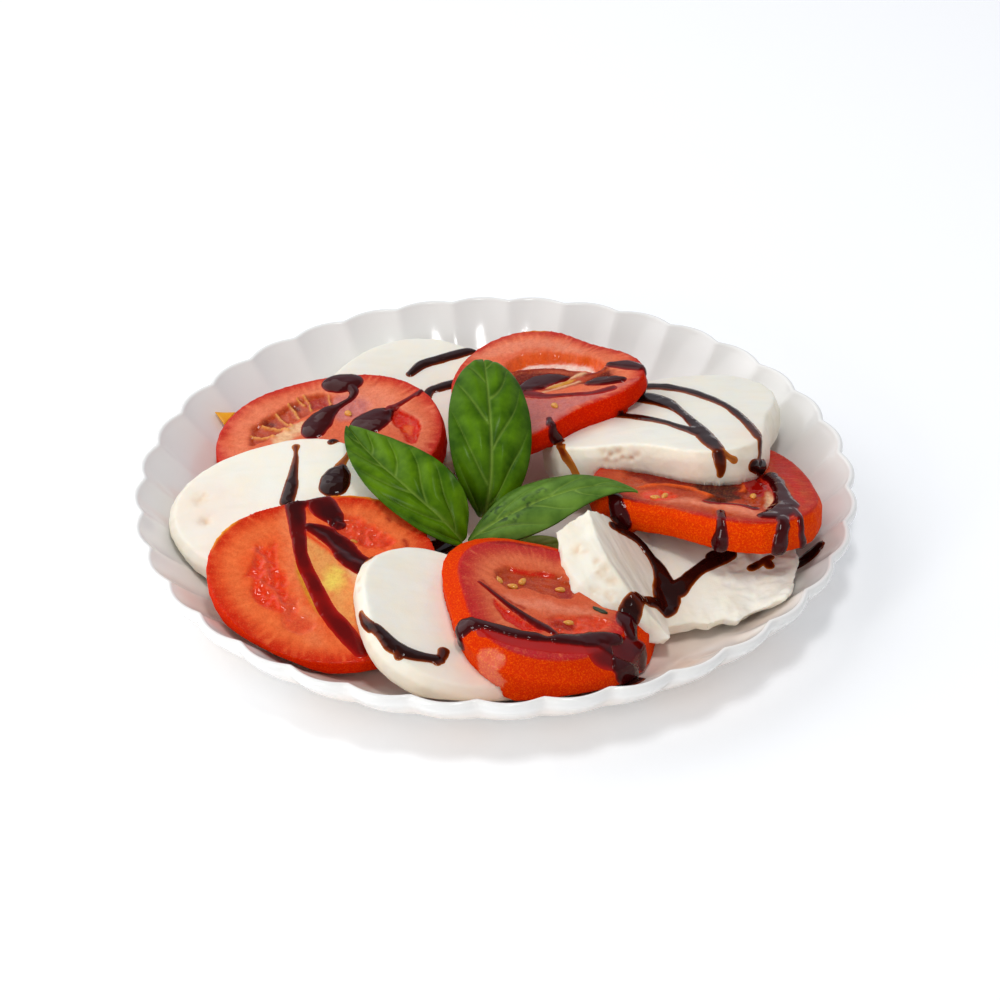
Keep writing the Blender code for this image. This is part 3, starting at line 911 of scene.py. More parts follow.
def tomatoFlesh():
    look = tomatoLook
    made, tree, shader = startMaterial("tomatoFlesh", IOR=1.4, Subsurface_Weight=0.12,
                                       Subsurface_Scale=0.0012, Subsurface_Radius=(1, 0.25, 0.1),
                                       Specular_IOR_Level=0.02, Coat_IOR=1.42, Coat_Roughness=0.08)
    fine = mottle(tree, 1.3, 0.5, 0.5, 2.2)
    tiny = mottle(tree, 0.55, 0.28, 0.5, 2.6)
    skin, wet = mask(tree, "skin"), mask(tree, "wet")
    cut = calc(tree, "SUBTRACT", 1.0, skin)
    tint = addNode(tree, "ShaderNodeAttribute", attribute_name="tint").outputs["Color"]
    darker = times(tree, ranged(tree, fine, 0.65, 0.2, 0, 0.6), cut)
    body = blendColour(tree, darker, tint, look["pit"], "MULTIPLY")
    lighter = times(tree, ranged(tree, tiny, 0.55, 0.95, 0, 0.3), cut)
    body = blendColour(tree, lighter, body, look["grainOfFlesh"])
    speckle = times(tree, ranged(tree, tiny, 0.46, 0.8), skin)
    body = blendColour(tree, speckle, body, look["speckle"], "MULTIPLY")
    tree.links.new(body, shader.inputs["Base Color"])
    tree.links.new(ranged(tree, wet, 0, 1, 0.5, 0.25), shader.inputs["Roughness"])
    tree.links.new(ranged(tree, wet, 0, 1, 0.0, 0.75), shader.inputs["Coat Weight"])
    relief(tree, shader, calc(tree, "ADD", fine, times(tree, mask(tree, "grain"), 0.5)), 0.12, 0.6)
    return made


fleshMaterial = tomatoFlesh()
tomatoPieces = {}
for sliceName, sliceLook in tomatoSlices.items():
    tomatoPieces[sliceName] = addPiece(sliceName.replace("_", "Slice"), carveTomato(sliceName, sliceLook),
                                       fleshMaterial, "tomato", sliceName)
print("tomato slices carved")


cheeseLook = {
    "voxel": 0.6,
    "rounds": 5,
    "face": rgb(239, 237, 226),
    # warm: cream of the face's clouds, also painted on the sides as the glow of light through the cheese
    "warm": rgb(247, 236, 210),
    # brownish colour of the painted shade in the pits
    "paintedPitShade": rgb(222, 186, 146),
    "blush": rgb(236, 190, 168),
    "fibre": rgb(212, 204, 182),
}
# pits: (x, y, height, size) on the cheese's side; they are sunk in and painted browner as shade
# blush: (x, y, size, strength), pinkish where tomato juice has soaked in
cheeseSlices = {
    "mozzarella_1": {"pits": [], "blush": [(-50, 50, 8, 0.3)]},
    "mozzarella_2": {"pits": [(-91, -5, 21, 2.4), (-89, -15, 20, 2)], "blush": [
        (-88, -8, 12, 0.3), (-60, 20, 9, 0.2)]},
    "mozzarella_3": {"pits": [(-41, -56, 26, 1), (-41, -61, 26, 0.8)], "blush": [
        (12, -75, 14, 0.6), (-5, -92, 16, 0.4)]},
    "mozzarella_5": {
        "pits": [
            (34, 2, 31, 1.3), (36.2, 1, 30.2, 1.2), (38.4, 0.7, 31.8, 1.5), (40, 0, 29.6, 1.2),
            (35.4, 0.7, 28.5, 1.5), (37.6, 0.4, 28.2, 1.0), (44, -1.7, 31.6, 1.1), (42.4, -1, 30.2, 0.8)],
        "blush": [(82, 2, 10, 0.3), (62, -11, 7, 0.15), (40, 32, 10, 0.25)],
    },
}


def pitsAt(points, pits, uneven):
    deepest = np.zeros(len(points))
    for x, y, height, size in pits:
        distance = np.linalg.norm(points - (x, y, height), axis=1) / size
        deepest = np.maximum(deepest, np.exp(-distance ** 2) * (0.7 + uneven * noiseAt(points, 1.2, 3)))
    return deepest


def paintCheese(mesh, **masks):
    for name, values in masks.items():
        paint(mesh, name, np.clip(values, 0, 1))


# Gently uneven cut face, small pits in the side, damp tinted places
def carveCheese(name, look):
    normal = faceOf(name).normal
    mesh = refined(name, cheeseLook["voxel"], cheeseLook["rounds"])
    settle(name, mesh)
    points, normals = pointsOf(mesh), normalsOf(mesh)
    side = 1 - smoothStep(normals @ normal, 0.45, 0.8)
    lift = 0.35 * roughNoise(points, 16, 21) + 0.08 * roughNoise(points, 4, 24)
    lift += side * (0.30 * roughNoise(points, 7, 26) + 0.12 * roughNoise(points, 2, 27))
    pit = pitsAt(points, look["pits"], 0.5)
    movePoints(mesh, points + normals * (lift - 1.0 * pit)[:, None])
    streaks = roughNoise(points * (0.22, 1, 0.6), 2.4, 33)
    paintCheese(mesh, side=side, pit=pit,
                blush=spotsAt(points, look["blush"]) * (0.8 + 0.4 * roughNoise(points, 5, 31)),
                fibre=np.clip(0.9 * streaks, 0, 0.4) * (0.4 + 0.6 * side))
    return mesh


def mozzarella():
    look = cheeseLook
    made, tree, shader = startMaterial("mozzarella", IOR=1.4, Subsurface_Weight=0.3, Subsurface_Scale=0.0025,
                                       Subsurface_Radius=(1, 0.7, 0.45), Specular_IOR_Level=0.3)
    clouds = mottle(tree, 9, 1.5, 0.25, 1.6)
    fine = mottle(tree, 1.6, 0.5, 0.5, 1.6)
    body = blendColour(tree, ranged(tree, clouds, 0.35, 0.8, 0, 0.5), look["face"], look["warm"])
    # painted light: the sides are tinted warmer, standing in for light glowing through the cheese
    sideGlowShare = times(tree, mask(tree, "side"), ranged(tree, fine, 0.2, 0.8, 0.15, 0.55))
    body = blendColour(tree, sideGlowShare, body, look["warm"])
    body = blendColour(tree, mask(tree, "blush"), body, look["blush"])
    # painted shade: browner inside the pits
    body = blendColour(tree, times(tree, mask(tree, "pit"), 0.65), body, look["paintedPitShade"])
    body = blendColour(tree, times(tree, mask(tree, "fibre"), 0.6), body, look["fibre"])
    tree.links.new(body, shader.inputs["Base Color"])
    tree.links.new(ranged(tree, clouds, 0.2, 0.8, 0.28, 0.5), shader.inputs["Roughness"])
    relief(tree, shader, fine, 0.1, 0.5)
    return made


cheeseMaterial = mozzarella()
cheesePieces = {}
for sliceName, sliceLook in cheeseSlices.items():
    cheesePieces[sliceName] = addPiece(sliceName.replace("_", "Slice"), carveCheese(sliceName, sliceLook),
                                       cheeseMaterial, "mozzarella", sliceName)

tornPiece = {
    "voxel": 0.5,
    "rounds": 4,
    "pits": [
        (24, -44.5, 27.5, 2.2), (26, -46.5, 29, 1.4), (31.5, -54.5, 26.5, 2.6), (30, -51, 27, 1.4),
        (33.5, -58, 25, 2), (33.5, -62, 23, 2.4), (29, -60, 23, 1.9), (36, -64.5, 21, 2.2)],
    "ridge": [(28, -31, 32.5), (30, -40, 31), (34.6, -47.7, 27), (40, -54.5, 22.7), (45, -64.5, 18.2)],
    "blush": [(50, -56, 8, 0.3), (66, -28, 12, 0.25), (45, -38, 9, 0.2)],
    "pull": (0.42, -0.84, -0.34),    # direction of the fibres
    "wallEnd": (50, 42),             # x where the pitted wall fades out
    "folds": ((58, 74), (100, 88)),  # x where the folds rise and fade
    "front": ((54, 62), (48, 54)),   # distance to the front and x where the ragged front begins
}


# Torn end piece: pulled fibres along the ridge, folds at the right, a ragged front
def carveTorn(name, look):
    mesh = refined(name, look["voxel"], look["rounds"])
    settle(name, mesh)
    tuckInto(mesh, "tomato_3")
    points, normals = pointsOf(mesh), normalsOf(mesh)
    x, y, _ = points.T
    wall = smoothStep(-normals[:, 0], 0.35, 0.8) * smoothStep(x, *look["wallEnd"])
    upper = smoothStep(normals[:, 2], 0.2, 0.6)
    along = np.array(look["pull"])
    pulled = points - np.outer(points @ along, along) * 0.86
    fibre = roughNoise(pulled, 3.2, 41)
    nearRidge = np.exp(-(nearLine(points, look["ridge"]) / 14) ** 2)
    lift = upper * nearRidge * 0.7 * fibre
    folds = smoothStep(x, *look["folds"][0]) * smoothStep(x, *look["folds"][1])
    lift += folds * (1.3 * roughNoise(points * (1, 1.6, 1), 9, 44) + 0.5 * roughNoise(points, 3, 45))
    lift += 0.25 * roughNoise(points, 7, 46) + wall * 0.25 * roughNoise(points * (1, 1, 2), 2.2, 47)
    front = smoothStep(-y, *look["front"][0]) * smoothStep(x, *look["front"][1])
    lift += front * 0.9 * roughNoise(points, 3.5, 48)
    pit = pitsAt(points, look["pits"], 0.6)
    movePoints(mesh, points + normals * (lift - 0.6 * pit)[:, None])
    paintCheese(mesh, side=wall, pit=pit, blush=spotsAt(points, look["blush"]),
                fibre=upper * nearRidge * (0.5 + fibre))
    return mesh


cheesePieces["mozzarella_4"] = addPiece("tornMozzarella", carveTorn("mozzarella_4", tornPiece),
                                        cheeseMaterial, "mozzarella", "mozzarella_4")
print("mozzarella carved")


basilLook = {
    "thick": 0.5,
    "vein": rgb(160, 190, 80),
    "bruise": rgb(28, 46, 34),
}
# rib: Bezier points of the midrib, from the stalk to the tip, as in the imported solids
# half: greatest half width, which lies at widest; veins: pairs of side veins
# bruises: (place along the leaf, place across it, size)
basilLeaves = {
    "basil_1": {
        "rib": ((-4.3, -6.7, 12.1), (2.7, -17.9, 33.4), (-2.5, 31.2, 48.2), (-2.6, 35.4, 44.2)),
        "facing": (0.1, -0.75, 0.65), "half": 13, "widest": 0.49, "blunt": 0.74, "cup": 2.7, "veins": 3.6,
        "puff": 1.0, "grid": (150, 80), "dark": rgb(42, 77, 2), "bright": rgb(90, 132, 6), "bruises": [],
    },
    "basil_2": {
        "rib": ((-9.6, -23.6, 15.1), (-17.3, -26.2, 31.1), (-37.9, -4.6, 31.9), (-46, 20, 31.2)),
        "facing": (0, -0.2, 1), "half": 12.1, "widest": 0.42, "blunt": 0.9, "cup": -4.4, "veins": 4,
        "puff": 1.5, "grid": (140, 76), "dark": rgb(46, 82, 0), "bright": rgb(100, 140, 0), "bruises": [],
    },
    "basil_3": {
        "rib": ((-9.1, -22.6, 15), (0.8, -25.6, 26.2), (27.4, -11.2, 34.2), (44.1, -28, 35.7)),
        "facing": (0, -0.2, 1), "half": 10, "widest": 0.43, "blunt": 1.3, "cup": 2, "veins": 3.4,
        "puff": 0.6, "grid": (140, 70), "dark": rgb(60, 92, 28), "bright": rgb(104, 140, 50),
        "bruises": [
            (0.3, 0.1, 0.05), (0.34, 0.3, 0.04), (0.25, -0.25, 0.05), (0.42, -0.1, 0.05),
            (0.5, -0.3, 0.03), (0.22, -0.6, 0.05), (0.28, -0.5, 0.04)],
    },
    "basil_4": {
        "rib": ((1, -21.5, 13), (6, -22.5, 13.6), (14, -23.4, 14.2), (20.5, -24, 14.8)),
        "facing": (0, -0.2, 1), "half": 4.3, "widest": 0.6, "blunt": 0.6, "cup": 0.5, "veins": 3,
        "puff": 0.2, "grid": (60, 30), "dark": rgb(150, 178, 66), "bright": rgb(204, 218, 128),
        "bruises": [],
    },
}


def bezier(points, t):
    points = [Vector(p) for p in points]
    while len(points) > 1:
        points = [a.lerp(b, t) for a, b in zip(points, points[1:])]
    return points[0]


# Faces of a grid, of the same grid below it, and of the rim between them
def sheetFaces(along, across):
    rows = across + 1
    shift = (along + 1) * rows
    faces = []
    for c in range(along):
        for r in range(across):
            a, b, d, e = c * rows + r, (c + 1) * rows + r, (c + 1) * rows + r + 1, c * rows + r + 1
            faces.append((a, b, d, e))
            faces.append((a + shift, e + shift, d + shift, b + shift))
    rim = [(c, 0) for c in range(along + 1)] + [(along, r) for r in range(1, rows)]
    rim += [(c, across) for c in range(along - 1, -1, -1)] + [(0, r) for r in range(across - 1, 0, -1)]
    for (c, r), (d, s) in zip(rim, rim[1:] + rim[:1]):
        a, b = c * rows + r, d * rows + s
        faces.append((a, a + shift, b + shift, b))
    return faces


# Veins, midrib, puffed fields and bruises at a place t along a leaf and s across it, where it is half wide
def leafRelief(look, t, s, half):
    reach = abs(s) * half / look["half"]
    spacing = 0.86 / look["veins"]
    stagger = 0.45 if s > 0 else 0
    flow = (t - 0.42 * reach ** 1.3) / spacing + stagger + 0.10 * math.sin(9 * t + 4 * s)
    nearVein = abs(flow - round(flow)) * spacing * 50
    inner = 1 - abs(s) ** 4
    vein = math.exp(-(nearVein / (0.55 - 0.3 * abs(s))) ** 2) * inner * (0.06 < t < 0.92)
    midrib = math.exp(-(s * half / (0.55 * (1.2 - t))) ** 2)
    puff = abs(math.sin(math.pi * flow)) ** 0.8 * min(1, reach * 4) * inner
    spots = [math.exp(-((t - u) ** 2 + (0.22 * (s - v)) ** 2) / w ** 2) for u, v, w in look["bruises"]]
    return vein, midrib, puff, max(spots, default=0)


# Leaf with a sunken midrib, side veins that sweep towards the tip and puffed fields between them
def growLeaf(name, look):
    along, across = look["grid"]
    facing = Vector(look["facing"]).normalized()
    power = math.log(0.5) / math.log(look["widest"])
    tops, bottoms, masks = [], [], []
    for i in range(along + 1):
        t = 0.02 + 0.96 * i / along
        centre = bezier(look["rib"], t)
        heading = (bezier(look["rib"], t + 0.01) - bezier(look["rib"], t - 0.01)).normalized()
        side = heading.cross(facing).normalized()
        normal = side.cross(heading)
        half = look["half"] * math.sin(math.pi * t ** power) ** look["blunt"]
        for j in range(across + 1):
            s = 2 * j / across - 1
            vein, midrib, puff, bruise = leafRelief(look, t, s, half)
            height = look["puff"] * puff - 0.2 * vein - 0.45 * midrib
            point = centre + side * (half * s) - normal * (look["cup"] * s * s * half / look["half"])
            tops.append(point + normal * (height + basilLook["thick"] / 2))
            bottoms.append(point + normal * (height - basilLook["thick"] / 2))
            masks.append((max(0.7 * vein, midrib), puff, s, bruise))
    points = np.array(tops + bottoms)
    points[:, 2] += 0.25 * noiseAt(points, 6, 51)
    mesh = closedMesh(name, points, sheetFaces(along, across))
    broken = 0.5 + 0.5 * roughNoise(points, 1.4, 57)
    veins, puffs, sides, bruises = np.array(masks + masks).T
    paint(mesh, "vein", veins)
    paint(mesh, "puff", puffs)
    paint(mesh, "across", sides)
    paint(mesh, "bruise", bruises * smoothStep(broken, 0.42, 0.6))
    return mesh


def basilGreen(name, look):
    made, tree, shader = startMaterial(name, IOR=1.42, Specular_IOR_Level=0.06, Coat_Roughness=0.22,
                                       Coat_IOR=1.4)
    clouds = mottle(tree, 7, 1.5, 0.15, 1.5)
    fine = mottle(tree, 0.9, 0.35, 0.5, 1.4)
    cloudy = ranged(tree, clouds, 0.2, 0.8, -0.15, 0.75)
    share = clamped(tree, calc(tree, "MULTIPLY_ADD", mask(tree, "puff"), 0.35, cloudy))
    body = blendColour(tree, share, look["dark"], look["bright"])
    body = blendColour(tree, times(tree, ranged(tree, fine, 0.3, 0.8), 0.18), body, look["dark"])
    body = blendColour(tree, times(tree, mask(tree, "vein"), 0.42), body, basilLook["vein"])
    margin = ranged(tree, calc(tree, "ABSOLUTE", mask(tree, "across")), 0.88, 1.0, 0, 0.3)
    body = blendColour(tree, margin, body, look["dark"])
    body = blendColour(tree, times(tree, mask(tree, "bruise"), 0.85), body, basilLook["bruise"])
    tree.links.new(body, shader.inputs["Base Color"])
    tree.links.new(ranged(tree, fine, 0.2, 0.8, 0.35, 0.5), shader.inputs["Roughness"])
    tree.links.new(ranged(tree, clouds, 0.2, 0.8, 0.03, 0.2), shader.inputs["Coat Weight"])
    relief(tree, shader, fine, 0.1, 0.5)
    return made


for leafName, leafLook in basilLeaves.items():
    addPiece(leafName.replace("_", "Leaf"), growLeaf(leafName, leafLook),
             basilGreen(leafName + "Green", leafLook), "basil", leafName)
print("basil grown")


glaze = {
    "triangles": 190000,       # at most
    "skirt": 0.8,              # how far past its edge a stroke's mesh goes on, under the surface
    "sunk": 0.6,               # how far the underside lies below the surface
    "thinCheese": rgb(206, 126, 44),
    "filmCheese": rgb(120, 42, 10),
    "thinTomato": rgb(178, 18, 8),
    "filmTomato": rgb(112, 4, 3),
    "deepCheese": rgb(38, 9, 6),
    "deepTomato": rgb(58, 5, 7),
}
# Each stroke runs over the food through (x, y, height, width); thick is its height, or several along it;
# on names the one piece it keeps to
glazeStrokes = {
    "firstSliceTop": {"thick": 0.9, "path": [
        (-27, 71, 17, 3), (-23, 76, 18, 4.4), (-17, 79, 18, 4.8), (-10, 82, 18, 4.6), (-4, 84, 18, 3.4)]},
    "firstSliceLow": {"thick": 0.8, "path": [
        (-24, 41, 28, 1.6), (-22, 46, 27, 2), (-21, 60, 17, 3), (-17, 63, 17, 4.4), (-10, 66, 17, 4.6)]},
    "leftBlob": {"thick": 1.1, "path": [(-51, 52, 26, 8.5), (-48.5, 52, 27, 10.5), (-46, 51.5, 27, 8.5)]},
    "leftTail": {"thick": 1.0, "path": [
        (-45.5, 49, 26, 3.6), (-44.6, 46, 26, 3), (-46, 43, 26, 2.4), (-50, 40, 25, 3.2),
        (-53.5, 37, 25, 6.4), (-56, 33, 24, 9.2), (-57, 29.5, 23, 8.4)]},
    "rightTail": {"thick": 1.0, "path": [
        (-32.5, 35, 27, 2.6), (-35, 33, 28, 6), (-37.5, 31, 27, 10.4), (-39.5, 29.5, 26, 11),
        (-41, 29, 26, 9.4)]},
    "rightNeck": {"thick": 0.24, "path": [
        (-24, 42, 28, 1.8), (-27, 39.5, 28, 1.8), (-31, 36.5, 28, 2.4), (-34, 34, 27, 4)]},
    "cheeseStreak": {"thick": (0.22, 0.7), "path": [
        (-62, 15, 26, 2.6), (-62, 12.5, 26, 1.2), (-62, 9, 26, 1.8), (-62.5, 3, 25, 2.8),
        (-63, -3, 24, 4.2), (-64, -10, 23, 4.6)]},
    "cheeseDrop": {"thick": 1.3, "path": [
        (-47.6, 4, 26, 3), (-48, 2, 26, 5), (-49, -1, 25, 8.6), (-49.5, -5, 25, 9.4)]},
    "cheeseDropNeck": {"thick": 0.2, "path": [(-44.6, 12, 27, 1.6), (-46, 8, 27, 1.8), (-48, 4, 26, 3.4)]},
    "cheeseDot": {"thick": 0.7, "path": [(-51, 15.5, 28, 2.4), (-49.5, 17, 28, 2.8)]},
    "redSliceLong": {"thick": (0.6, 0.3, 0.18, 0.24), "path": [
        (-61, -19, 31, 6.6), (-60, -28, 29, 5.6), (-59, -35, 28, 4.6), (-58, -43, 25, 4.2),
        (-54, -53, 22, 5), (-50, -62, 19, 5.6), (-45, -69, 17, 6.4), (-40, -76, 15, 5)]},
    "redSliceShort": {"thick": 0.55, "path": [
        (-54, -19, 30, 7), (-52, -23, 30, 8.4), (-49, -26.5, 29, 6.4), (-46.5, -29, 28, 3.4)]},
    "redSliceBack": {"thick": 0.55, "path": [
        (-56, -31, 28, 3.2), (-53, -32, 27, 4.8), (-49, -34.5, 26, 7), (-45.5, -38.5, 25, 7.6),
        (-41.5, -43, 24, 7.4), (-36, -47, 22, 8)]},
    "paleSlice": {"thick": (0.24, 0.9, 0.8), "path": [
        (-41, -71, 25, 2.4), (-38, -75, 24, 3.2), (-33, -81, 24, 4.2), (-30, -85, 23, 5.4),
        (-26, -87, 22, 5), (-21, -87.5, 21, 3.8), (-17, -87.5, 20, 3.8)]},
    "paleKnob": {"thick": 0.5, "path": [(-17.5, -89, 20, 2.4), (-16, -86, 20, 3), (-15.5, -83.5, 20, 3.4)]},
    "paleTooth": {"thick": 0.4, "path": [(-29, -86, 23, 3), (-28.5, -89, 22, 2.6)]},
    "frontLong": {"thick": 0.9, "path": [
        (-10, -80, 27, 4.4), (-6, -81, 27, 4.6), (-1, -82, 27, 4.8), (5, -83, 26, 5),
        (11, -83.5, 25, 4.6), (15, -83.6, 24, 2.8), (20, -83, 23, 6.6), (26, -82, 22, 8),
        (31, -80, 20, 7.4), (35, -78.5, 19, 5)]},
    "frontHalo": {"thick": 0.05, "path": [
        (-4, -84, 27, 4), (4, -86, 26, 5.6), (14, -86.5, 24, 6), (24, -85, 21, 6)]},
    "frontBlob": {"thick": 1.0, "path": [
        (-8, -80.5, 27, 5), (-10.4, -81.5, 24.5, 5.4), (-12.2, -82, 21.5, 5.6)]},
    "frontRun": {"thick": (0.5, 0.9, 1.3), "path": [
        (30, -82, 20, 5), (33, -84.5, 17, 7), (36, -86, 14, 8), (39.5, -84, 9, 8)]},
    "frontFilm": {"thick": (0.1, 0.3, 0.5), "path": [
        (26, -85, 19, 5), (31, -85, 17, 9), (40, -79, 15, 10), (43, -77, 10, 7)]},
    "frontThin": {"thick": 0.5, "path": [
        (-5.4, -61.4, 27, 1), (-1.6, -64.8, 27, 1.4), (2, -68.6, 26, 1.8), (6.6, -72.6, 26, 2.4),
        (11.4, -76.6, 24, 3), (16, -79.4, 23, 3)]},
    "backPoolLeft": {"thick": 0.75, "path": [
        (10, 40, 32, 7), (15, 41.5, 32, 9.4), (20, 42, 33, 6.4), (23.5, 41.5, 33, 3)]},
    "backPoolRight": {"thick": 0.75, "path": [
        (31, 36.5, 35, 3.6), (35.5, 36.5, 35, 6.2), (41, 35, 36, 3.4)]},
    "backPoolTip": {"thick": 0.6, "path": [(38, 45.5, 35, 3.4), (43, 44, 36, 5.4), (48.5, 40, 36, 3.2)]},
    "backSmear": {"thick": 0.22, "path": [
        (11, 35.5, 32, 4), (17, 32, 33, 2.6), (23, 31, 34, 2), (31, 30, 35, 2.4), (38, 31, 36, 3)]},
    "backDrip": {"thick": (0.5, 0.9, 1.5), "path": [
        (17.5, 19, 33, 1.6), (18, 15, 32.5, 2.8), (19, 13.5, 30, 3.8), (20, 15, 27, 4)]},
    "brownStreak": {"thick": (0.3, 0.06), "path": [
        (20, 12, 29, 2.4), (21, 10.5, 27.5, 3), (22, 7, 26, 3.4), (24, 5, 24, 3), (25.5, 4, 21.5, 3)]},
    "whiteOuter": {"thick": (0.8, 0.24), "path": [
        (49, 50, 27, 5), (56, 47, 26, 4.6), (64, 41, 27, 4.2), (73, 29, 30, 3.2), (78, 17, 33, 3.2),
        (81, 4, 36, 3.2), (82, -2, 36, 2.6), (82, -5, 33, 2.2), (81.6, -8, 31, 2.6)]},
    "whiteMiddle": {"thick": (1.1, 0.3), "path": [
        (46, 42, 28, 7), (51, 38, 28, 8), (55, 33, 28, 6.4), (59, 25, 30, 3.4), (63, 12, 34, 4),
        (66, -1, 37, 5.6), (68, -8, 38, 4.8), (69, -12, 36, 3.6), (69.4, -13.5, 34, 2.8),
        (69, -13.4, 32, 2)]},
    "whiteFork": {"thick": 0.16, "path": [
        (69, -9.4, 38, 2.4), (71.6, -11, 37, 1.8), (73.4, -11.5, 36, 2.4)]},
    "whiteInner": {"thick": 0.8, "path": [
        (39, 27.5, 28, 2.6), (44, 25, 29, 3.4), (50, 19.5, 30, 3.4), (56, 13.5, 33, 2.8),
        (60, 8.5, 34, 3.6), (64, 4, 35.5, 4.6)]},
    "rightCorner": {"thick": 0.8, "path": [(80, -9, 32, 4), (83, -7, 30, 5), (85.5, -5, 27, 4)]},
    "rightBand": {"thick": 0.8, "path": [
        (83, -5, 29, 4.6), (86, -9, 28, 5), (87, -17, 29, 4.6), (87.5, -25, 31, 6), (87, -32, 33, 9),
        (84, -38, 35, 8), (80, -40, 35, 4)]},
    "rightFilmEdge": {"thick": 0.12, "on": "tomatoSlice4", "path": [
        (79, -6, 29, 6), (80, -14, 29, 7), (80, -20, 30, 4)]},
    "rightCreek": {"thick": 0.3, "path": [
        (63, -27, 31, 1), (68, -29, 32, 2), (74, -31, 33, 1.6), (78, -34, 34, 3)]},
    "rightFork": {"thick": (0.5, 0.5, 0.9), "path": [
        (89, -33, 33, 3), (90.5, -40, 34, 2.2), (91, -44, 31, 2.2), (92, -43, 26, 3)]},
    "wallDripA": {"thick": (0.5, 0.8, 1.5, 0.9), "path": [
        (36, -21.5, 31.5, 4), (36.5, -24.5, 30, 5.4), (37.5, -27, 27, 6.8), (38.6, -28.6, 25, 5.4)]},
    "wallDripB": {"thick": (0.4, 0.5, 1.0, 1.5, 0.6, 1.1), "path": [
        (67.5, -36, 34, 2.6), (67.5, -42, 34.5, 2.8), (67.2, -45, 32, 4.2), (67, -44.4, 28.5, 5.4),
        (67, -43, 25.6, 2.8), (66.6, -41, 23, 2.2), (66.5, -36, 18, 6)]},
    "wallDripC": {"thick": (0.6, 1.0, 1.5, 0.7, 0.5), "path": [
        (85.5, -41, 34, 4), (85, -47, 33, 4), (84.5, -48, 29.6, 5), (83.8, -46, 25.6, 4),
        (82, -40, 18, 2.4)]},
    "tornLeft": {"thick": 0.9, "path": [
        (36, -32, 27, 3.4), (40, -31, 23, 3.6), (43.5, -32, 20, 3.4), (47, -36.5, 18, 3.6),
        (49, -41, 17, 4.4), (50, -46, 16, 6), (50.5, -52, 15, 9), (50, -57, 14.5, 8)]},
    "tornRight": {"thick": 0.8, "path": [
        (70, -35, 17, 6), (66, -38, 17, 6), (61.5, -41, 17, 4.6), (57.5, -45.5, 16, 5),
        (54, -49.5, 15, 7)]},
    "tornDrip": {"thick": (0.7, 0.4, 0.6, 1.0, 0.9), "path": [
        (48, -57, 16, 5), (44.6, -59, 18.6, 4), (41.6, -61.5, 21, 5), (39.6, -65, 20, 7),
        (38.4, -69, 18.5, 7), (38.5, -73.5, 16, 5)]},
    "tornTick": {"thick": 0.4, "path": [(77, -42, 17, 3), (80, -40, 18, 2.8), (83, -37.5, 18, 2.2)]},
    "plateDrop": {"thick": 1.2, "path": [(91, -31, 10, 5), (95, -29.5, 12, 6.8), (98.5, -27.5, 14, 4.6)]},
    "plateSpot": {"thick": 0.8, "path": [(-19, -12, 5, 9), (-15, -10, 5, 10)]},
}
surfacePieces = [platePiece, *tomatoPieces.values(), *cheesePieces.values()]


# Samples of each stroke on the surface: place, half width and thickness
def laidStrokes():
    ground = searchTree([piece.data for piece in surfacePieces])
    laid = []
    for stroke in glazeStrokes.values():
        snapped = []
        for x, y, z, width in smoothLine(stroke["path"], steps=10):
            place = ground.find_nearest(Vector((x, y, z)))[0]
            snapped.append((*place, max(width, 0.8) / 2))
        heights = np.atleast_1d(stroke["thick"])
        along = np.interp(np.linspace(0, 1, len(snapped)), np.linspace(0, 1, len(heights)), heights)
        laid.append(np.column_stack([snapped, along]))
    return laid


# Average of each value with its neighbours' along the edges, a few times over
def evened(values, edges, rounds):
    count = np.maximum(np.bincount(edges.ravel(), minlength=len(values)), 1)[:, None]
    for _ in range(rounds):
        total = np.zeros_like(values)
        for column in range(values.shape[1]):
            for near, far in ((0, 1), (1, 0)):
                total[:, column] += np.bincount(edges[:, near], values[edges[:, far], column], len(values))
        values = 0.5 * values + 0.5 * total / count
    return values


# For each point the nearest stroke: distance over half width, half width and thickness
def glazeOn(points, laid):
    share, half, thick = np.full(len(points), 9.0), np.ones(len(points)), np.ones(len(points))
    for line in laid:
        margin = line[:, 3].max() * 2 + 3
        low, high = line[:, :3].min(0) - margin, line[:, :3].max(0) + margin
        close = np.flatnonzero(((points > low) & (points < high)).all(1))
        if len(close) == 0:
            continue
        offset = points[close, None, :] - line[None, :, :3]
        ratio = np.linalg.norm(offset, axis=2) / line[None, :, 3]
        best = ratio.argmin(1)
        value = ratio[np.arange(len(close)), best]
        better = value < share[close]
        chosen = close[better]
        share[chosen] = value[better]
        half[chosen] = line[best[better], 3]
        thick[chosen] = line[best[better], 4]
    return share, half, thick


# Part of a surface near the strokes, with four faces for each of its own
def surfacePart(mesh, near):
    part = bmesh.new()
    part.from_mesh(mesh)
    away = [v for v, keep in zip(part.verts, near) if not keep]
    bmesh.ops.delete(part, geom=away, context="VERTS")
    bmesh.ops.subdivide_edges(part, edges=part.edges, cuts=1, use_grid_fill=True)
    loose = [v for v in part.verts if not v.link_faces]
    bmesh.ops.delete(part, geom=loose, context="VERTS")
    part.normal_update()
    part.verts.index_update()
    return part


